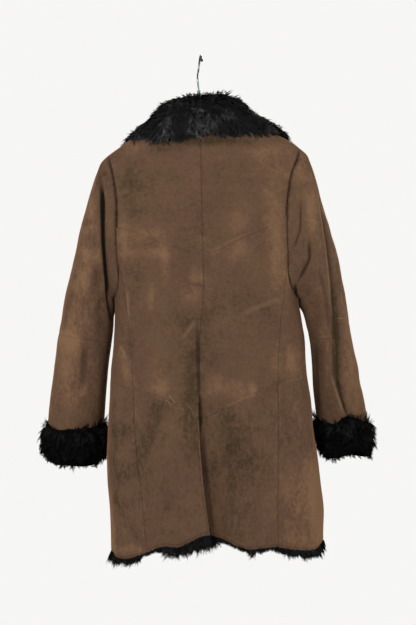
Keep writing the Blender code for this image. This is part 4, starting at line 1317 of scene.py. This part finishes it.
def fur_strands(name, grid, outs, comb, wild, shade, look, material):
    """Locks of fur over a grid of points. comb is the way the fur lies at each point, wild how unruly and
    shade how pale it is there with painted grey sheen, and look gives the locks' numbers."""
    random = np.random.default_rng(look["seed"])
    locks, hairs = look["count"], look["hairs"]
    place = scatter(random, grid, locks)
    root, out, way = sample(grid, place), unit(sample(outs, place)), unit(sample(comb, place))
    share = sample(look["lengths"], place)
    length = look["length"] * share * random.uniform(1 - look["ragged"], 1 + look["ragged"], locks)
    side = unit(np.cross(out, way))
    unruly = sample(wild, place)[:, None]
    swirl = random.normal(0, look["swirl"], locks)[:, None] * unruly
    way = unit(way + side * swirl)
    side = unit(np.cross(out, way))
    lift = look["lift"] * random.uniform(*LOCK_LIFTS, locks)[:, None] * unruly
    curl = look["curl"] * random.normal(0, 1, locks)[:, None] * unruly
    droop = look["droop"] * random.uniform(*LOCK_DROOPS, locks)[:, None]
    tone = random.uniform(0, 1, locks) ** TONE_POWER * np.clip(sample(shade, place), 0.0, 1.0)
    lock = np.repeat(np.arange(locks), hairs)
    total = locks * hairs
    jitter = random.normal(0, 1, (total, 2))
    base = root[lock] + (side[lock] * jitter[:, :1] + way[lock] * jitter[:, 1:]) * look["spread"]
    base -= out[lock] * look["sink"]
    reach = length[lock][:, None] * random.uniform(*HAIR_LENGTHS, total)[:, None]
    paths = np.empty((total, 3, 3))
    for k, along in enumerate(HAIR_STOPS):
        centre = root[lock] + way[lock] * reach * along
        centre += out[lock] * reach * lift[lock] * (along - droop[lock] * along**2)
        centre += side[lock] * reach * curl[lock] * along**2
        loose = base + way[lock] * reach * along + out[lock] * reach * lift[lock] * along
        paths[:, k] = lerp(loose, centre, look["gather"][k])
    turn = random.uniform(*HAIR_TURNS, total)[:, None]
    blade = unit(side[lock] * np.cos(turn) + out[lock] * np.sin(turn))
    widths = look["width"] * random.uniform(*HAIR_WIDTHS, total)
    tones = np.clip(tone[lock] * random.uniform(*HAIR_TONES, total), 0, 1)
    mesh = strand_mesh(name, base, paths, widths, blade, tones)
    keep_piece(name, mesh, [material], ())


def grid_directions(points):
    """Unit steps down the columns and along the rows of a grid."""
    return unit(np.gradient(points, axis=0)), unit(np.gradient(points, axis=1))


def collar_layers(hand, turn, out_share):
    """The collar's under and upper surface and the way its fur stands, from the neck seam (out_share 0)
    to its edge (1)."""
    one = SIDE[hand]
    neck_across = NECK_ACROSS * np.sin(np.radians(turn))
    edge_across = read(COLLAR_EDGE, "turn", "across_" + hand, turn)
    edge_drop = read(COLLAR_EDGE, "turn", "drop_" + hand, turn)
    across = one * np.maximum(0.0, lerp(neck_across, edge_across, out_share))
    edge_down = place_down(one * edge_across, edge_drop)
    side_share = np.sin(np.radians(turn)) ** 2
    side_height = read(COLLAR_FUR, "out", "side_" + hand, out_share)
    layers = []
    for face, end in ((-1, "back"), (1, "front")):
        down = lerp(neck_down(one * neck_across, face), edge_down, out_share)
        normal = body_normal(across, face, down)
        lean = unit(lerp(UPRIGHT, normal, read(COLLAR_FUR, "out", "lean", out_share)[..., None]))
        height = lerp(read(COLLAR_FUR, "out", end, out_share), side_height, side_share)
        under = read(COLLAR_FUR, "out", "under", out_share)
        if face > 0:
            under = under + front_lift(across, 0, False)
        place = body_point(across, face, down) + normal * under[..., None]
        if face < 0:
            near = smooth_share(1 - out_share / COLLAR_CREST_REACH)
            height = height + patch_share(COLLAR_CREST, place) * (1 - side_share) * near
        layers.append((place, place + lean * height[..., None], lean))
    is_back = (turn <= 90)[..., None]
    return (np.where(is_back, back, front) for back, front in zip(*layers))


def collar_lengths(surface, side_share, out_share, top):
    """The locks' share of their full length, uneven away from the edge and shorter along the top."""
    crown = COLLAR_CROWN_SHARE - COLLAR_CROWN_SIDES * side_share
    for x, wide, longer in zip(*COLLAR_CROWN.values()):
        crown = crown + longer * bell((surface[..., 0] - x) / wide)
    uneven = 0.95 + 0.7 * smooth_noise(surface, 15.0, 23)
    return lerp(uneven, 1.0, smooth_share((1 - out_share) / 0.25)) * lerp(1.0, crown, top)


def make_collar(hand):
    """Fur collar of one hand, laid over the shoulder from the neck seam to its edge."""
    one = SIDE[hand]
    u, v = stops(COLLAR_ROUND, COLLAR_STEP), stops(COLLAR_WIDTH, COLLAR_STEP)
    turn, out_share = np.meshgrid(u * COLLAR_END_TURN, v)
    inner, outer, lean = collar_layers(hand, turn, out_share)
    for grid in (inner, outer):
        grid[:, 0, 0] += one * SEAM_OVERLAP / 2
    name = f"collar_fur_{hand}"
    surface = fur_body(name, outer, inner, 3.2, [name])
    down, along = grid_directions(surface)
    outs = unit(np.cross(along, down)) * one
    outs = np.where((outs * lean).sum(-1, keepdims=True) < 0, -outs, outs)
    side_share = np.sin(np.radians(turn)) ** 2
    top = smooth_share(1 - out_share / COLLAR_TOP_REACH)
    raised = unit(outs + 0.35 * np.array([one, 0.0, 0.6]))
    comb = lerp(unit(down - 0.35 * UPRIGHT), raised, (top * lerp(0.75, 0.45, side_share))[..., None])
    middle = bell(turn / 50) * smooth_share(1 - out_share / 0.8)
    wild = 0.75 + 1.3 * middle + 0.8 * side_share + 0.9 * bell(turn / 5)
    # Painted sheen and shade of the collar's locks: random, paler towards the edge, with the painted
    # highlights and hollows of the collar's shades
    shade = 0.1 + hills(surface, COLLAR_TONES) + 0.4 * out_share + patch_share(COLLAR_SHADES, surface)
    lengths = collar_lengths(surface, side_share, out_share, top)
    look = {**LOCKS["collar"], "lengths": lengths, "seed": FUR_SEEDS["collar"][hand]}
    fur_strands(f"collar_locks_{hand}", surface, outs, unit(comb), wild, shade, look, FUR)


def cuff_along(hand, turn, down, middle):
    """How far down the sleeve each place of a cuff lies, with its uneven rim and foot."""
    angle = turn * math.pi
    around = np.stack([np.sin(angle) * CUFF_RADIUS, np.cos(angle) * CUFF_RADIUS, 0 * turn], axis=-1)
    rim = CUFF_RIM_UNEVEN * smooth_noise(around, 26.0, 35) + CUFF_RIM_DIP * middle - CUFF_RIM_LIFT
    foot = CUFF_FOOT_UNEVEN * smooth_noise(around, 22.0, 36) * lerp(0.4, 1.0, middle)
    foot = foot + CUFF_SAG[hand] * middle - lerp(*CUFF_CORNER[hand], np.abs(turn)) * (1 - middle)
    top, tall = CUFF_TOP_DROP[hand] + CUFF_TOP_INSET, CUFF_HEIGHT[hand] - CUFF_HEIGHT_INSET
    return top + tall * down + rim * (1 - down) + foot * down


def make_cuff(hand):
    """Turned-back fur cuff: a strip round the sleeve's end, closed at the armpit side."""
    ring = armhole_ring(hand)
    turn, down = np.meshgrid(np.linspace(-1, 1, CUFF_GRID[0]), np.linspace(0, 1, CUFF_GRID[1]))
    middle = np.sin(math.pi * np.abs(turn))
    along = cuff_along(hand, turn, down, middle)
    out = sleeve_normal(hand, ring, turn, along)
    inner = sleeve_point(hand, ring, turn, along) + out * CUFF_CLEARANCE
    height = read(CUFF_FUR, "down", "out", down) * read(CUFF_SQUASH, "turn", "share", turn)
    outer = inner + out * (height * CUFF_FULLNESS[hand])[..., None]
    name = f"cuff_fur_{hand}"
    for grid in (outer, inner):
        grid[:, 0] += unit(grid[:, 1] - grid[:, 0]) * SEAM_OVERLAP / 2
        grid[:, -1] += unit(grid[:, -2] - grid[:, -1]) * SEAM_OVERLAP / 2
    surface = fur_body(name, outer, inner, 6.5, [name])
    down_way, _ = grid_directions(outer)
    up = smooth_share(1 - down / 0.14)
    raised = unit(out * 0.35 - down_way * 0.8)
    comb = unit(lerp(unit(down_way - 0.3 * UPRIGHT), raised, 0.95 * up[..., None]))
    tufts = 0.85 + 0.5 * smooth_noise(outer, 14.0, 37) + 0.5 * smooth_share((np.abs(turn) - 0.72) / 0.2)
    lengths = lerp(0.9, 0.78 * lerp(0.55, 1.0, middle), down) * tufts * (1 + 0.35 * up)
    look = {**LOCKS["cuff"], "lengths": lengths, "seed": FUR_SEEDS["cuff"][hand]}
    # Painted highlight: the cuff's locks are paler towards its top, where the light falls
    shade = 0.15 + 0.8 * smooth_noise(surface, 15.0, 38) + 0.9 * (1 - down) ** 2
    fur_strands(f"cuff_locks_{hand}", surface, out, comb, 1 - 0.6 * up, shade, look, DARK_FUR)


def make_hem_wool(name, across, down, face, lift, seed):
    """The wool that hangs below a panel's hem, laid inside the panel's own points."""
    below = np.array(HEM_WOOL_ROWS)[:, None]
    point = body_point(across, face, down)
    tufts = 0.75 + 0.8 * smooth_noise(point, 30.0, 27)
    if face < 0:
        tufts = read(HEM_TUFTS, "x", "share", seen_from_behind(point)[0])
    share = read_hand(WOOL_SHARE, "across", across, np.abs(across)) * (0.2 + 0.34 * np.clip(tufts, 0.0, 1.2))
    drop = below * np.where(below > 0, share[None, :], 1.0)
    out = body_normal(across, face, down)
    point = point + out * lift(across, -point[:, 2])[:, None]
    centre = np.repeat(point[None], len(below), axis=0)
    centre[..., 2] -= drop
    outs = np.repeat(out[None], len(below), axis=0)
    outer = centre + outs * read(HEM_WOOL, "below", "outer", below)[..., None]
    inner = centre + outs * read(HEM_WOOL, "below", "inner", below)[..., None]
    for grid in (outer, inner):
        grid[:, 0] += unit(grid[:, 1] - grid[:, 0]) * SEAM_OVERLAP
        grid[:, -1] += unit(grid[:, -2] - grid[:, -1]) * SEAM_OVERLAP
    fur_body(name, outer, inner, 1.0, [name])
    lower = slice(HEM_WOOL_ROWS.index(0.6), None)
    tufts = np.clip(tufts[None, :] + 0.5 * smooth_noise(outer[lower], 9.0, 28), 0.15, 1.4)
    comb = outs[lower] * 0.25 - UPRIGHT
    look = {**LOCKS["hem"], "lengths": tufts, "seed": seed}
    even = np.ones(tufts.shape)
    fur_strands(name.replace("wool", "locks"), outer[lower], outs[lower], comb, even, even, look, DARK_FUR)


def make_hem(hand):
    one = SIDE[hand]
    lap = -VENT_LAP if hand == "right" else 0.0

    def back(across, drop):
        return back_lift(across, drop, hand == "right")

    def front(across, drop):
        return front_lift(across, drop, hand == "left")

    shares = np.linspace(0, 1, HEM_STOPS)
    across = lerp(lap, one, shares)
    seed = FUR_SEEDS["hem"][hand]
    make_hem_wool(f"hem_wool_back_{hand}", across, seam_down(HEM, across), -1, back, seed)
    across = one * (1 + armhole_turn(shares)[0])
    make_hem_wool(f"hem_wool_side_{hand}", across, seam_down(HEM, across), -1, back, seed + 1)
    across, down = front_places(hand)(shares, np.ones_like(shares))
    make_hem_wool(f"hem_wool_front_{hand}", across, down, 1, front, seed + 2)


# --- Finishes ---


def new_node(tree, kind, **settings):
    node = tree.nodes.new(kind)
    for key, value in settings.items():
        setattr(node, key, value)
    return node


def wire(tree, source, target):
    tree.links.new(source, target)


def noise(tree, vector, scale, detail=3.0, roughness=0.55, distortion=0.0):
    node = new_node(tree, "ShaderNodeTexNoise")
    node.inputs["Scale"].default_value = scale
    node.inputs["Detail"].default_value = detail
    node.inputs["Roughness"].default_value = roughness
    node.inputs["Distortion"].default_value = distortion
    wire(tree, vector, node.inputs["Vector"])
    return node.outputs["Fac"]


def stretched(tree, vector, scale):
    node = new_node(tree, "ShaderNodeMapping")
    node.inputs["Scale"].default_value = scale
    wire(tree, vector, node.inputs["Vector"])
    return node.outputs["Vector"]


def remap(tree, value, low, high, start=0.0, end=1.0):
    node = new_node(tree, "ShaderNodeMapRange", interpolation_type="SMOOTHSTEP")
    for key, number in zip(("From Min", "From Max", "To Min", "To Max"), (low, high, start, end)):
        node.inputs[key].default_value = number
    wire(tree, value, node.inputs["Value"])
    return node.outputs["Result"]


def feed(tree, socket, value):
    """Sets a number or a colour on a socket, or wires another socket to it."""
    if isinstance(value, (int, float)):
        socket.default_value = value
    elif isinstance(value, tuple):
        socket.default_value = (*value, 1.0)
    else:
        wire(tree, value, socket)


def calculate(tree, operation, first, *others):
    """One operation over sockets and numbers, from left to right."""
    for value in others:
        node = new_node(tree, "ShaderNodeMath", operation=operation)
        feed(tree, node.inputs[0], first)
        feed(tree, node.inputs[1], value)
        first = node.outputs["Value"]
    return first


def times(tree, *values):
    return calculate(tree, "MULTIPLY", *values)


def plus(tree, *values):
    return calculate(tree, "ADD", *values)


def mix_colour(tree, share, first, second):
    node = new_node(tree, "ShaderNodeMix", data_type="RGBA", blend_type="MIX")
    for index, value in ((0, share), (6, first), (7, second)):
        feed(tree, node.inputs[index], value)
    return node.outputs[2]


def attribute(tree, name):
    return new_node(tree, "ShaderNodeAttribute", attribute_name=name).outputs["Fac"]


def new_group(name, inputs, outputs):
    group = bpy.data.node_groups.new(name, "ShaderNodeTree")
    for key, kind in inputs:
        group.interface.new_socket(key, in_out="INPUT", socket_type=kind)
    for key, kind in outputs:
        group.interface.new_socket(key, in_out="OUTPUT", socket_type=kind)
    start, end = group.nodes.new("NodeGroupInput"), group.nodes.new("NodeGroupOutput")
    return group, start.outputs, end.inputs


def make_mottle_group():
    """Uneven tone of a natural hide at three sizes, with fine fibres. Brush is 0 where the marks and
    the fibres run down the coat and 1 where they run across it."""
    group, given, put = new_group(
        "HideMottle",
        (("Vector", "NodeSocketVector"), ("Brush", "NodeSocketFloat")),
        tuple((key, "NodeSocketFloat") for key in ("Cloud", "Patch", "Fleck", "Fibre")),
    )
    place = given["Vector"]
    wire(group, remap(group, noise(group, place, 11.0, 2.0), 0.36, 0.64), put["Cloud"])
    for key, near, far, detail, rough, low, high in (
        ("Patch", 44, 26, 6.0, 0.68, 0.33, 0.67),
        ("Fleck", 160, 105, 4.0, 0.7, 0.33, 0.67),
        ("Fibre", 480, 190, 3.0, 0.65, 0.3, 0.7),
    ):
        upright = noise(group, stretched(group, place, (near, near, far)), 1.0, detail, rough, 0.4)
        level = noise(group, stretched(group, place, (far, near, near)), 1.0, detail, rough, 0.4)
        blend = new_node(group, "ShaderNodeMix", data_type="FLOAT")
        wire(group, given["Brush"], blend.inputs[0])
        wire(group, upright, blend.inputs[2])
        wire(group, level, blend.inputs[3])
        wire(group, remap(group, blend.outputs[0], low, high), put[key])
    return group


def new_material(name):
    material = bpy.data.materials.new(name)
    material.use_nodes = True
    return material, material.node_tree, material.node_tree.nodes["Principled BSDF"].inputs


def object_place(tree):
    return new_node(tree, "ShaderNodeTexCoord").outputs["Object"]


def add_bump(tree, sockets, height, distance):
    bump = new_node(tree, "ShaderNodeBump")
    bump.inputs["Distance"].default_value = distance
    bump.inputs["Strength"].default_value = 1.0
    wire(tree, height, bump.inputs["Height"])
    wire(tree, bump.outputs["Normal"], sockets["Normal"])


SUEDE_COLOURS = {
    "cool": (0.0740, 0.0398, 0.0262),
    "warm": (0.0835, 0.0478, 0.0272),
    "fleck": (0.104, 0.060, 0.0365),
    "fibre": (0.119, 0.069, 0.0425),
    # Rubbed tan, also painted light on sides turned from the lamps
    "rubbed_and_lit": (0.162, 0.091, 0.0500),
    # Soil, also painted shade: shadow under the collar, beside folds and in wide creases
    "soiled_and_shaded": (0.034, 0.0232, 0.0114),
    "scuff": (0.165, 0.104, 0.066),
    "rim": (0.150, 0.092, 0.056),
    "stitch": (0.020, 0.013, 0.009),
    # Rubbed pale scratches, also painted highlights on ridges
    "pale": (0.205, 0.122, 0.066),
    # Painted shade in creases and folds
    "dark": (0.0085, 0.0062, 0.0045),
    # Painted shade in the seams' grooves
    "groove": (0.009, 0.0065, 0.0048),
    # Painted warm sheen where the suede is seen at grazing angles
    "rim_sheen": (0.205, 0.098, 0.043),
}


def ragged(tree, value, patch, fleck, middle):
    """A value made uneven by the hide's own patches and flecks, each a socket and its part."""
    mottled = plus(tree, times(tree, *patch), times(tree, *fleck))
    return plus(tree, value, calculate(tree, "SUBTRACT", mottled, middle))


def suede_layers(tree, patch, fleck, fibre):
    """How strongly each colour shows over the suede's own brown, from the lowest layer up."""
    wear_and_painted_light, seam, hem, line, mark = (attribute(tree, key) for key in ("wear_and_painted_light", "seam", "hem", "line", "mark"))
    near = remap(tree, calculate(tree, "ABSOLUTE", line, 0.0), 1.5, 0.25)
    facing = new_node(tree, "ShaderNodeLayerWeight").outputs["Facing"]
    rub_and_light = ragged(tree, wear_and_painted_light, (patch, 0.46), (fleck, 0.4), 0.43)
    soil_and_shade = ragged(tree, wear_and_painted_light, (patch, 0.42), (fleck, 0.36), 0.41)
    beside_seam = times(tree, remap(tree, seam, 1.2, 3.0), remap(tree, seam, 7.5, 3.4))
    stitches = times(tree, remap(tree, hem, 5.0, 6.2), remap(tree, hem, 8.0, 6.6))
    pale = times(tree, near, times(tree, mark, -1.0))
    dark = calculate(tree, "MAXIMUM", times(tree, near, mark), 0.0)
    return {
        "fleck": times(tree, fleck, 0.36),
        "fibre": times(tree, fibre, 0.46),
        # Rubbed tan, and painted light
        "rubbed_and_lit": remap(tree, rub_and_light, 0.04, 1.2, 0.0, 0.97),
        # Soil, and painted shade
        "soiled_and_shaded": remap(tree, soil_and_shade, 0.06, -0.88, 0.0, 0.93),
        "scuff": times(tree, beside_seam, remap(tree, patch, 0.45, 0.95, 0.0, 0.24)),
        "rim": times(tree, remap(tree, hem, 5.0, 1.0), remap(tree, fleck, 0.1, 0.7, 0.1, 0.45)),
        "stitch": times(tree, stitches, 0.45),
        # Rubbed pale scratches and painted highlights on ridges
        "pale": calculate(tree, "MAXIMUM", pale, 0.0),
        # Painted shade along creases and folds
        "dark": calculate(tree, "MINIMUM", dark, 1.0),
        # Painted shade in the seams' grooves
        "groove": times(tree, attribute(tree, "groove"), remap(tree, fleck, 0.0, 0.8, 1.0, 0.7)),
        # Painted warm sheen at grazing angles, from the Layer Weight's facing
        "rim_sheen": times(tree, remap(tree, facing, 0.5, 0.93, 0.0, 0.72), remap(tree, fleck, 0.0, 0.8, 0.6, 1.0)),
    }


def make_suede(mottle):
    """Worn brown suede: cool brown, with warmer tan places rubbed and also painted light, darker places
    soiled and also painted shade, painted shade in creases and seam grooves, and a painted warm sheen at
    grazing angles.
    """
    material, tree, sockets = new_material("Suede")
    place = object_place(tree)
    group = new_node(tree, "ShaderNodeGroup", node_tree=mottle)
    wire(tree, place, group.inputs["Vector"])
    wire(tree, attribute(tree, "brush"), group.inputs["Brush"])
    cloud, patch, fleck, fibre = (group.outputs[key] for key in ("Cloud", "Patch", "Fleck", "Fibre"))
    colour = mix_colour(tree, cloud, SUEDE_COLOURS["cool"], SUEDE_COLOURS["warm"])
    for key, share in suede_layers(tree, patch, fleck, fibre).items():
        colour = mix_colour(tree, share, colour, SUEDE_COLOURS[key])
    wire(tree, colour, sockets["Base Color"])
    wire(tree, remap(tree, patch, 0.0, 1.0, 0.98, 0.88), sockets["Roughness"])
    sockets["Specular IOR Level"].default_value = 0.04
    sockets["Sheen Weight"].default_value = 0.07
    sockets["Sheen Roughness"].default_value = 0.35
    sockets["Sheen Tint"].default_value = (0.95, 0.62, 0.38, 1.0)
    grain = noise(tree, place, 1500.0, 2.0)
    height = plus(tree, times(tree, fibre, 0.35), times(tree, grain, 0.25), times(tree, fleck, 0.4))
    add_bump(tree, sockets, height, 0.0009)
    return material


def make_raw_edge():
    """Cut edge of the hide: pale brown, open fibres."""
    material, tree, sockets = new_material("SuedeEdge")
    place = object_place(tree)
    colour = mix_colour(tree, noise(tree, place, 260.0), (0.10, 0.062, 0.042), (0.30, 0.20, 0.13))
    wire(tree, colour, sockets["Base Color"])
    sockets["Roughness"].default_value = 0.9
    add_bump(tree, sockets, noise(tree, place, 900.0), 0.0006)
    return material


def make_wool():
    """Clipped black wool on the inside of the skins."""
    material, tree, sockets = new_material("ShearlingInside")
    place = object_place(tree)
    curls = noise(tree, place, 150.0, 4.0, 0.6, 1.2)
    colour = mix_colour(tree, curls, (0.004, 0.004, 0.0045), (0.024, 0.023, 0.023))
    wire(tree, colour, sockets["Base Color"])
    sockets["Roughness"].default_value = 0.85
    sockets["Specular IOR Level"].default_value = 0.2
    add_bump(tree, sockets, curls, 0.006)
    return material


def make_fur(name, dark, light, roughness, specular):
    """Black fur, mixed towards a paler grey that is painted sheen along the hairs."""
    material, tree, sockets = new_material(name)
    place = object_place(tree)
    streak = noise(tree, place, 120.0, 3.0)
    tone = times(tree, streak, plus(tree, attribute(tree, "tone"), 0.14))
    colour = mix_colour(tree, tone, dark, light)
    wire(tree, colour, sockets["Base Color"])
    wire(tree, remap(tree, streak, 0.3, 0.7, roughness - 0.08, roughness + 0.1), sockets["Roughness"])
    sockets["Specular IOR Level"].default_value = specular
    return material


def make_hanger_plastic():
    material, tree, sockets = new_material("HangerPlasticLook")
    place = object_place(tree)
    grain = noise(tree, place, 900.0, 2.0)
    wire(tree, mix_colour(tree, grain, (0.012, 0.012, 0.013), (0.022, 0.022, 0.023)), sockets["Base Color"])
    wire(tree, remap(tree, noise(tree, place, 60.0), 0.3, 0.7, 0.34, 0.5), sockets["Roughness"])
    add_bump(tree, sockets, grain, 0.0002)
    return material


def make_steel():
    """Plated wire, brushed dull by use."""
    material, tree, sockets = new_material("HookSteelLook")
    place = object_place(tree)
    wipe = noise(tree, stretched(tree, place, (900, 900, 120)), 1.0, 3.0)
    wire(tree, mix_colour(tree, wipe, (0.075, 0.086, 0.10), (0.19, 0.20, 0.215)), sockets["Base Color"])
    wire(tree, remap(tree, wipe, 0.3, 0.7, 0.24, 0.42), sockets["Roughness"])
    sockets["Metallic"].default_value = 1.0
    add_bump(tree, sockets, wipe, 0.0001)
    return material


# --- Setting ---

# The floor's half side, and the y and z of its middle, in metres
FLOOR_HALF = 1.9
FLOOR_Y = -0.42
FLOOR_Z = -1.5
LENS = 93.3
SENSOR_WIDTH = 36.0
# Name, place, the point it shines on, breadth, power and colour of each lamp, in metres and watts
LAMPS = (
    ("key", (-1.3, -2.6, 1.1), (0, 0, -0.5), 1.6, 85, (1.0, 0.985, 0.96)),
    ("fill", (2.0, -2.4, -0.1), (0, 0, -0.55), 1.8, 30, (1.0, 1.0, 1.0)),
    ("behind", (0.6, 2.8, 0.8), (0, 0, -0.5), 1.8, 70, (1.0, 0.99, 0.97)),
    ("side_-1", (-2.5, -0.5, -0.4), (0, 0, -0.55), 1.2, 16, (1.0, 0.99, 0.97)),
    ("side_1", (2.5, -0.5, -0.4), (0, 0, -0.55), 1.2, 16, (1.0, 0.99, 0.97)),
)


def make_floor():
    """A plain pale floor under the hanging coat."""
    shape = bmesh.new()
    bmesh.ops.create_grid(shape, x_segments=8, y_segments=8, size=FLOOR_HALF)
    for vertex in shape.verts:
        vertex.co.y = vertex.co.y + FLOOR_Y
        vertex.co.z = FLOOR_Z
    mesh = bpy.data.meshes.new("floor")
    shape.to_mesh(mesh)
    shape.free()
    material, tree, sockets = new_material("FloorPaint")
    cloud = noise(tree, object_place(tree), 3.0)
    wire(tree, mix_colour(tree, cloud, (0.60, 0.597, 0.587), (0.63, 0.627, 0.617)), sockets["Base Color"])
    sockets["Roughness"].default_value = 0.9
    sockets["Specular IOR Level"].default_value = 0.05
    mesh.materials.append(material)
    floor = bpy.data.objects.new("floor", mesh)
    bpy.context.scene.collection.objects.link(floor)


def make_light(name, place, aim, size, power, colour):
    light = bpy.data.lights.new(name, "AREA")
    light.shape = "DISK"
    light.size = size
    light.energy = power
    light.color = colour
    lamp = bpy.data.objects.new(name, light)
    lamp.location = place
    lamp.rotation_euler = (Vector(aim) - Vector(place)).to_track_quat("-Z", "Y").to_euler()
    bpy.context.scene.collection.objects.link(lamp)


def make_setting():
    world = bpy.data.worlds.new("studio")
    bpy.context.scene.world = world
    world.use_nodes = True
    tree = world.node_tree
    backdrop, room = tree.nodes["Background"], new_node(tree, "ShaderNodeBackground")
    backdrop.inputs["Color"].default_value = (0.927, 0.921, 0.904, 1.0)
    room.inputs["Color"].default_value = (0.927, 0.935, 0.95, 1.0)
    room.inputs["Strength"].default_value = 0.45
    seen, mix = new_node(tree, "ShaderNodeLightPath"), new_node(tree, "ShaderNodeMixShader")
    wire(tree, seen.outputs["Is Camera Ray"], mix.inputs[0])
    wire(tree, room.outputs[0], mix.inputs[1])
    wire(tree, backdrop.outputs[0], mix.inputs[2])
    wire(tree, mix.outputs[0], tree.nodes["World Output"].inputs["Surface"])
    for lamp in LAMPS:
        make_light(*lamp)
    make_floor()
    camera = bpy.data.cameras.new("camera")
    camera.sensor_width = SENSOR_WIDTH
    camera.lens = LENS
    view = bpy.data.objects.new("camera", camera)
    view.location = (STAND[0] * MM, -STAND[1] * MM, -STAND[2] * MM)
    view.rotation_euler = (math.pi / 2, 0, 0)
    bpy.context.scene.collection.objects.link(view)
    bpy.context.scene.camera = view
    bpy.context.scene.view_settings.view_transform = "Standard"


make_setting()
MOTTLE = make_mottle_group()
SUEDE = make_suede(MOTTLE)
RAW_EDGE = make_raw_edge()
WOOL = make_wool()
# The fur's pale colours are painted grey sheen
FUR = make_fur("FurHairs", (0.0009, 0.0009, 0.0010), (0.132, 0.129, 0.128), 0.55, 0.03)
DARK_FUR = make_fur("FurHairsDark", (0.0008, 0.0008, 0.0009), (0.030, 0.0296, 0.0292), 0.65, 0.02)
FUR_UNDER = make_fur("FurUnder", (0.0015, 0.0015, 0.0016), (0.004, 0.004, 0.004), 0.9, 0.03)
for hand in ("left", "right"):
    make_back(hand)
    make_front(hand)
    make_sleeve(hand)
    make_collar(hand)
    make_cuff(hand)
    make_hem(hand)
PLASTIC, STEEL = make_hanger_plastic(), make_steel()
for node, material in (
    ("hanger_arms", PLASTIC),
    ("hanger_hook_ball", PLASTIC),
    ("hanger_hook", STEEL),
    ("hanger_ferrule", STEEL),
):
    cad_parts[node].material_slots[0].material = material
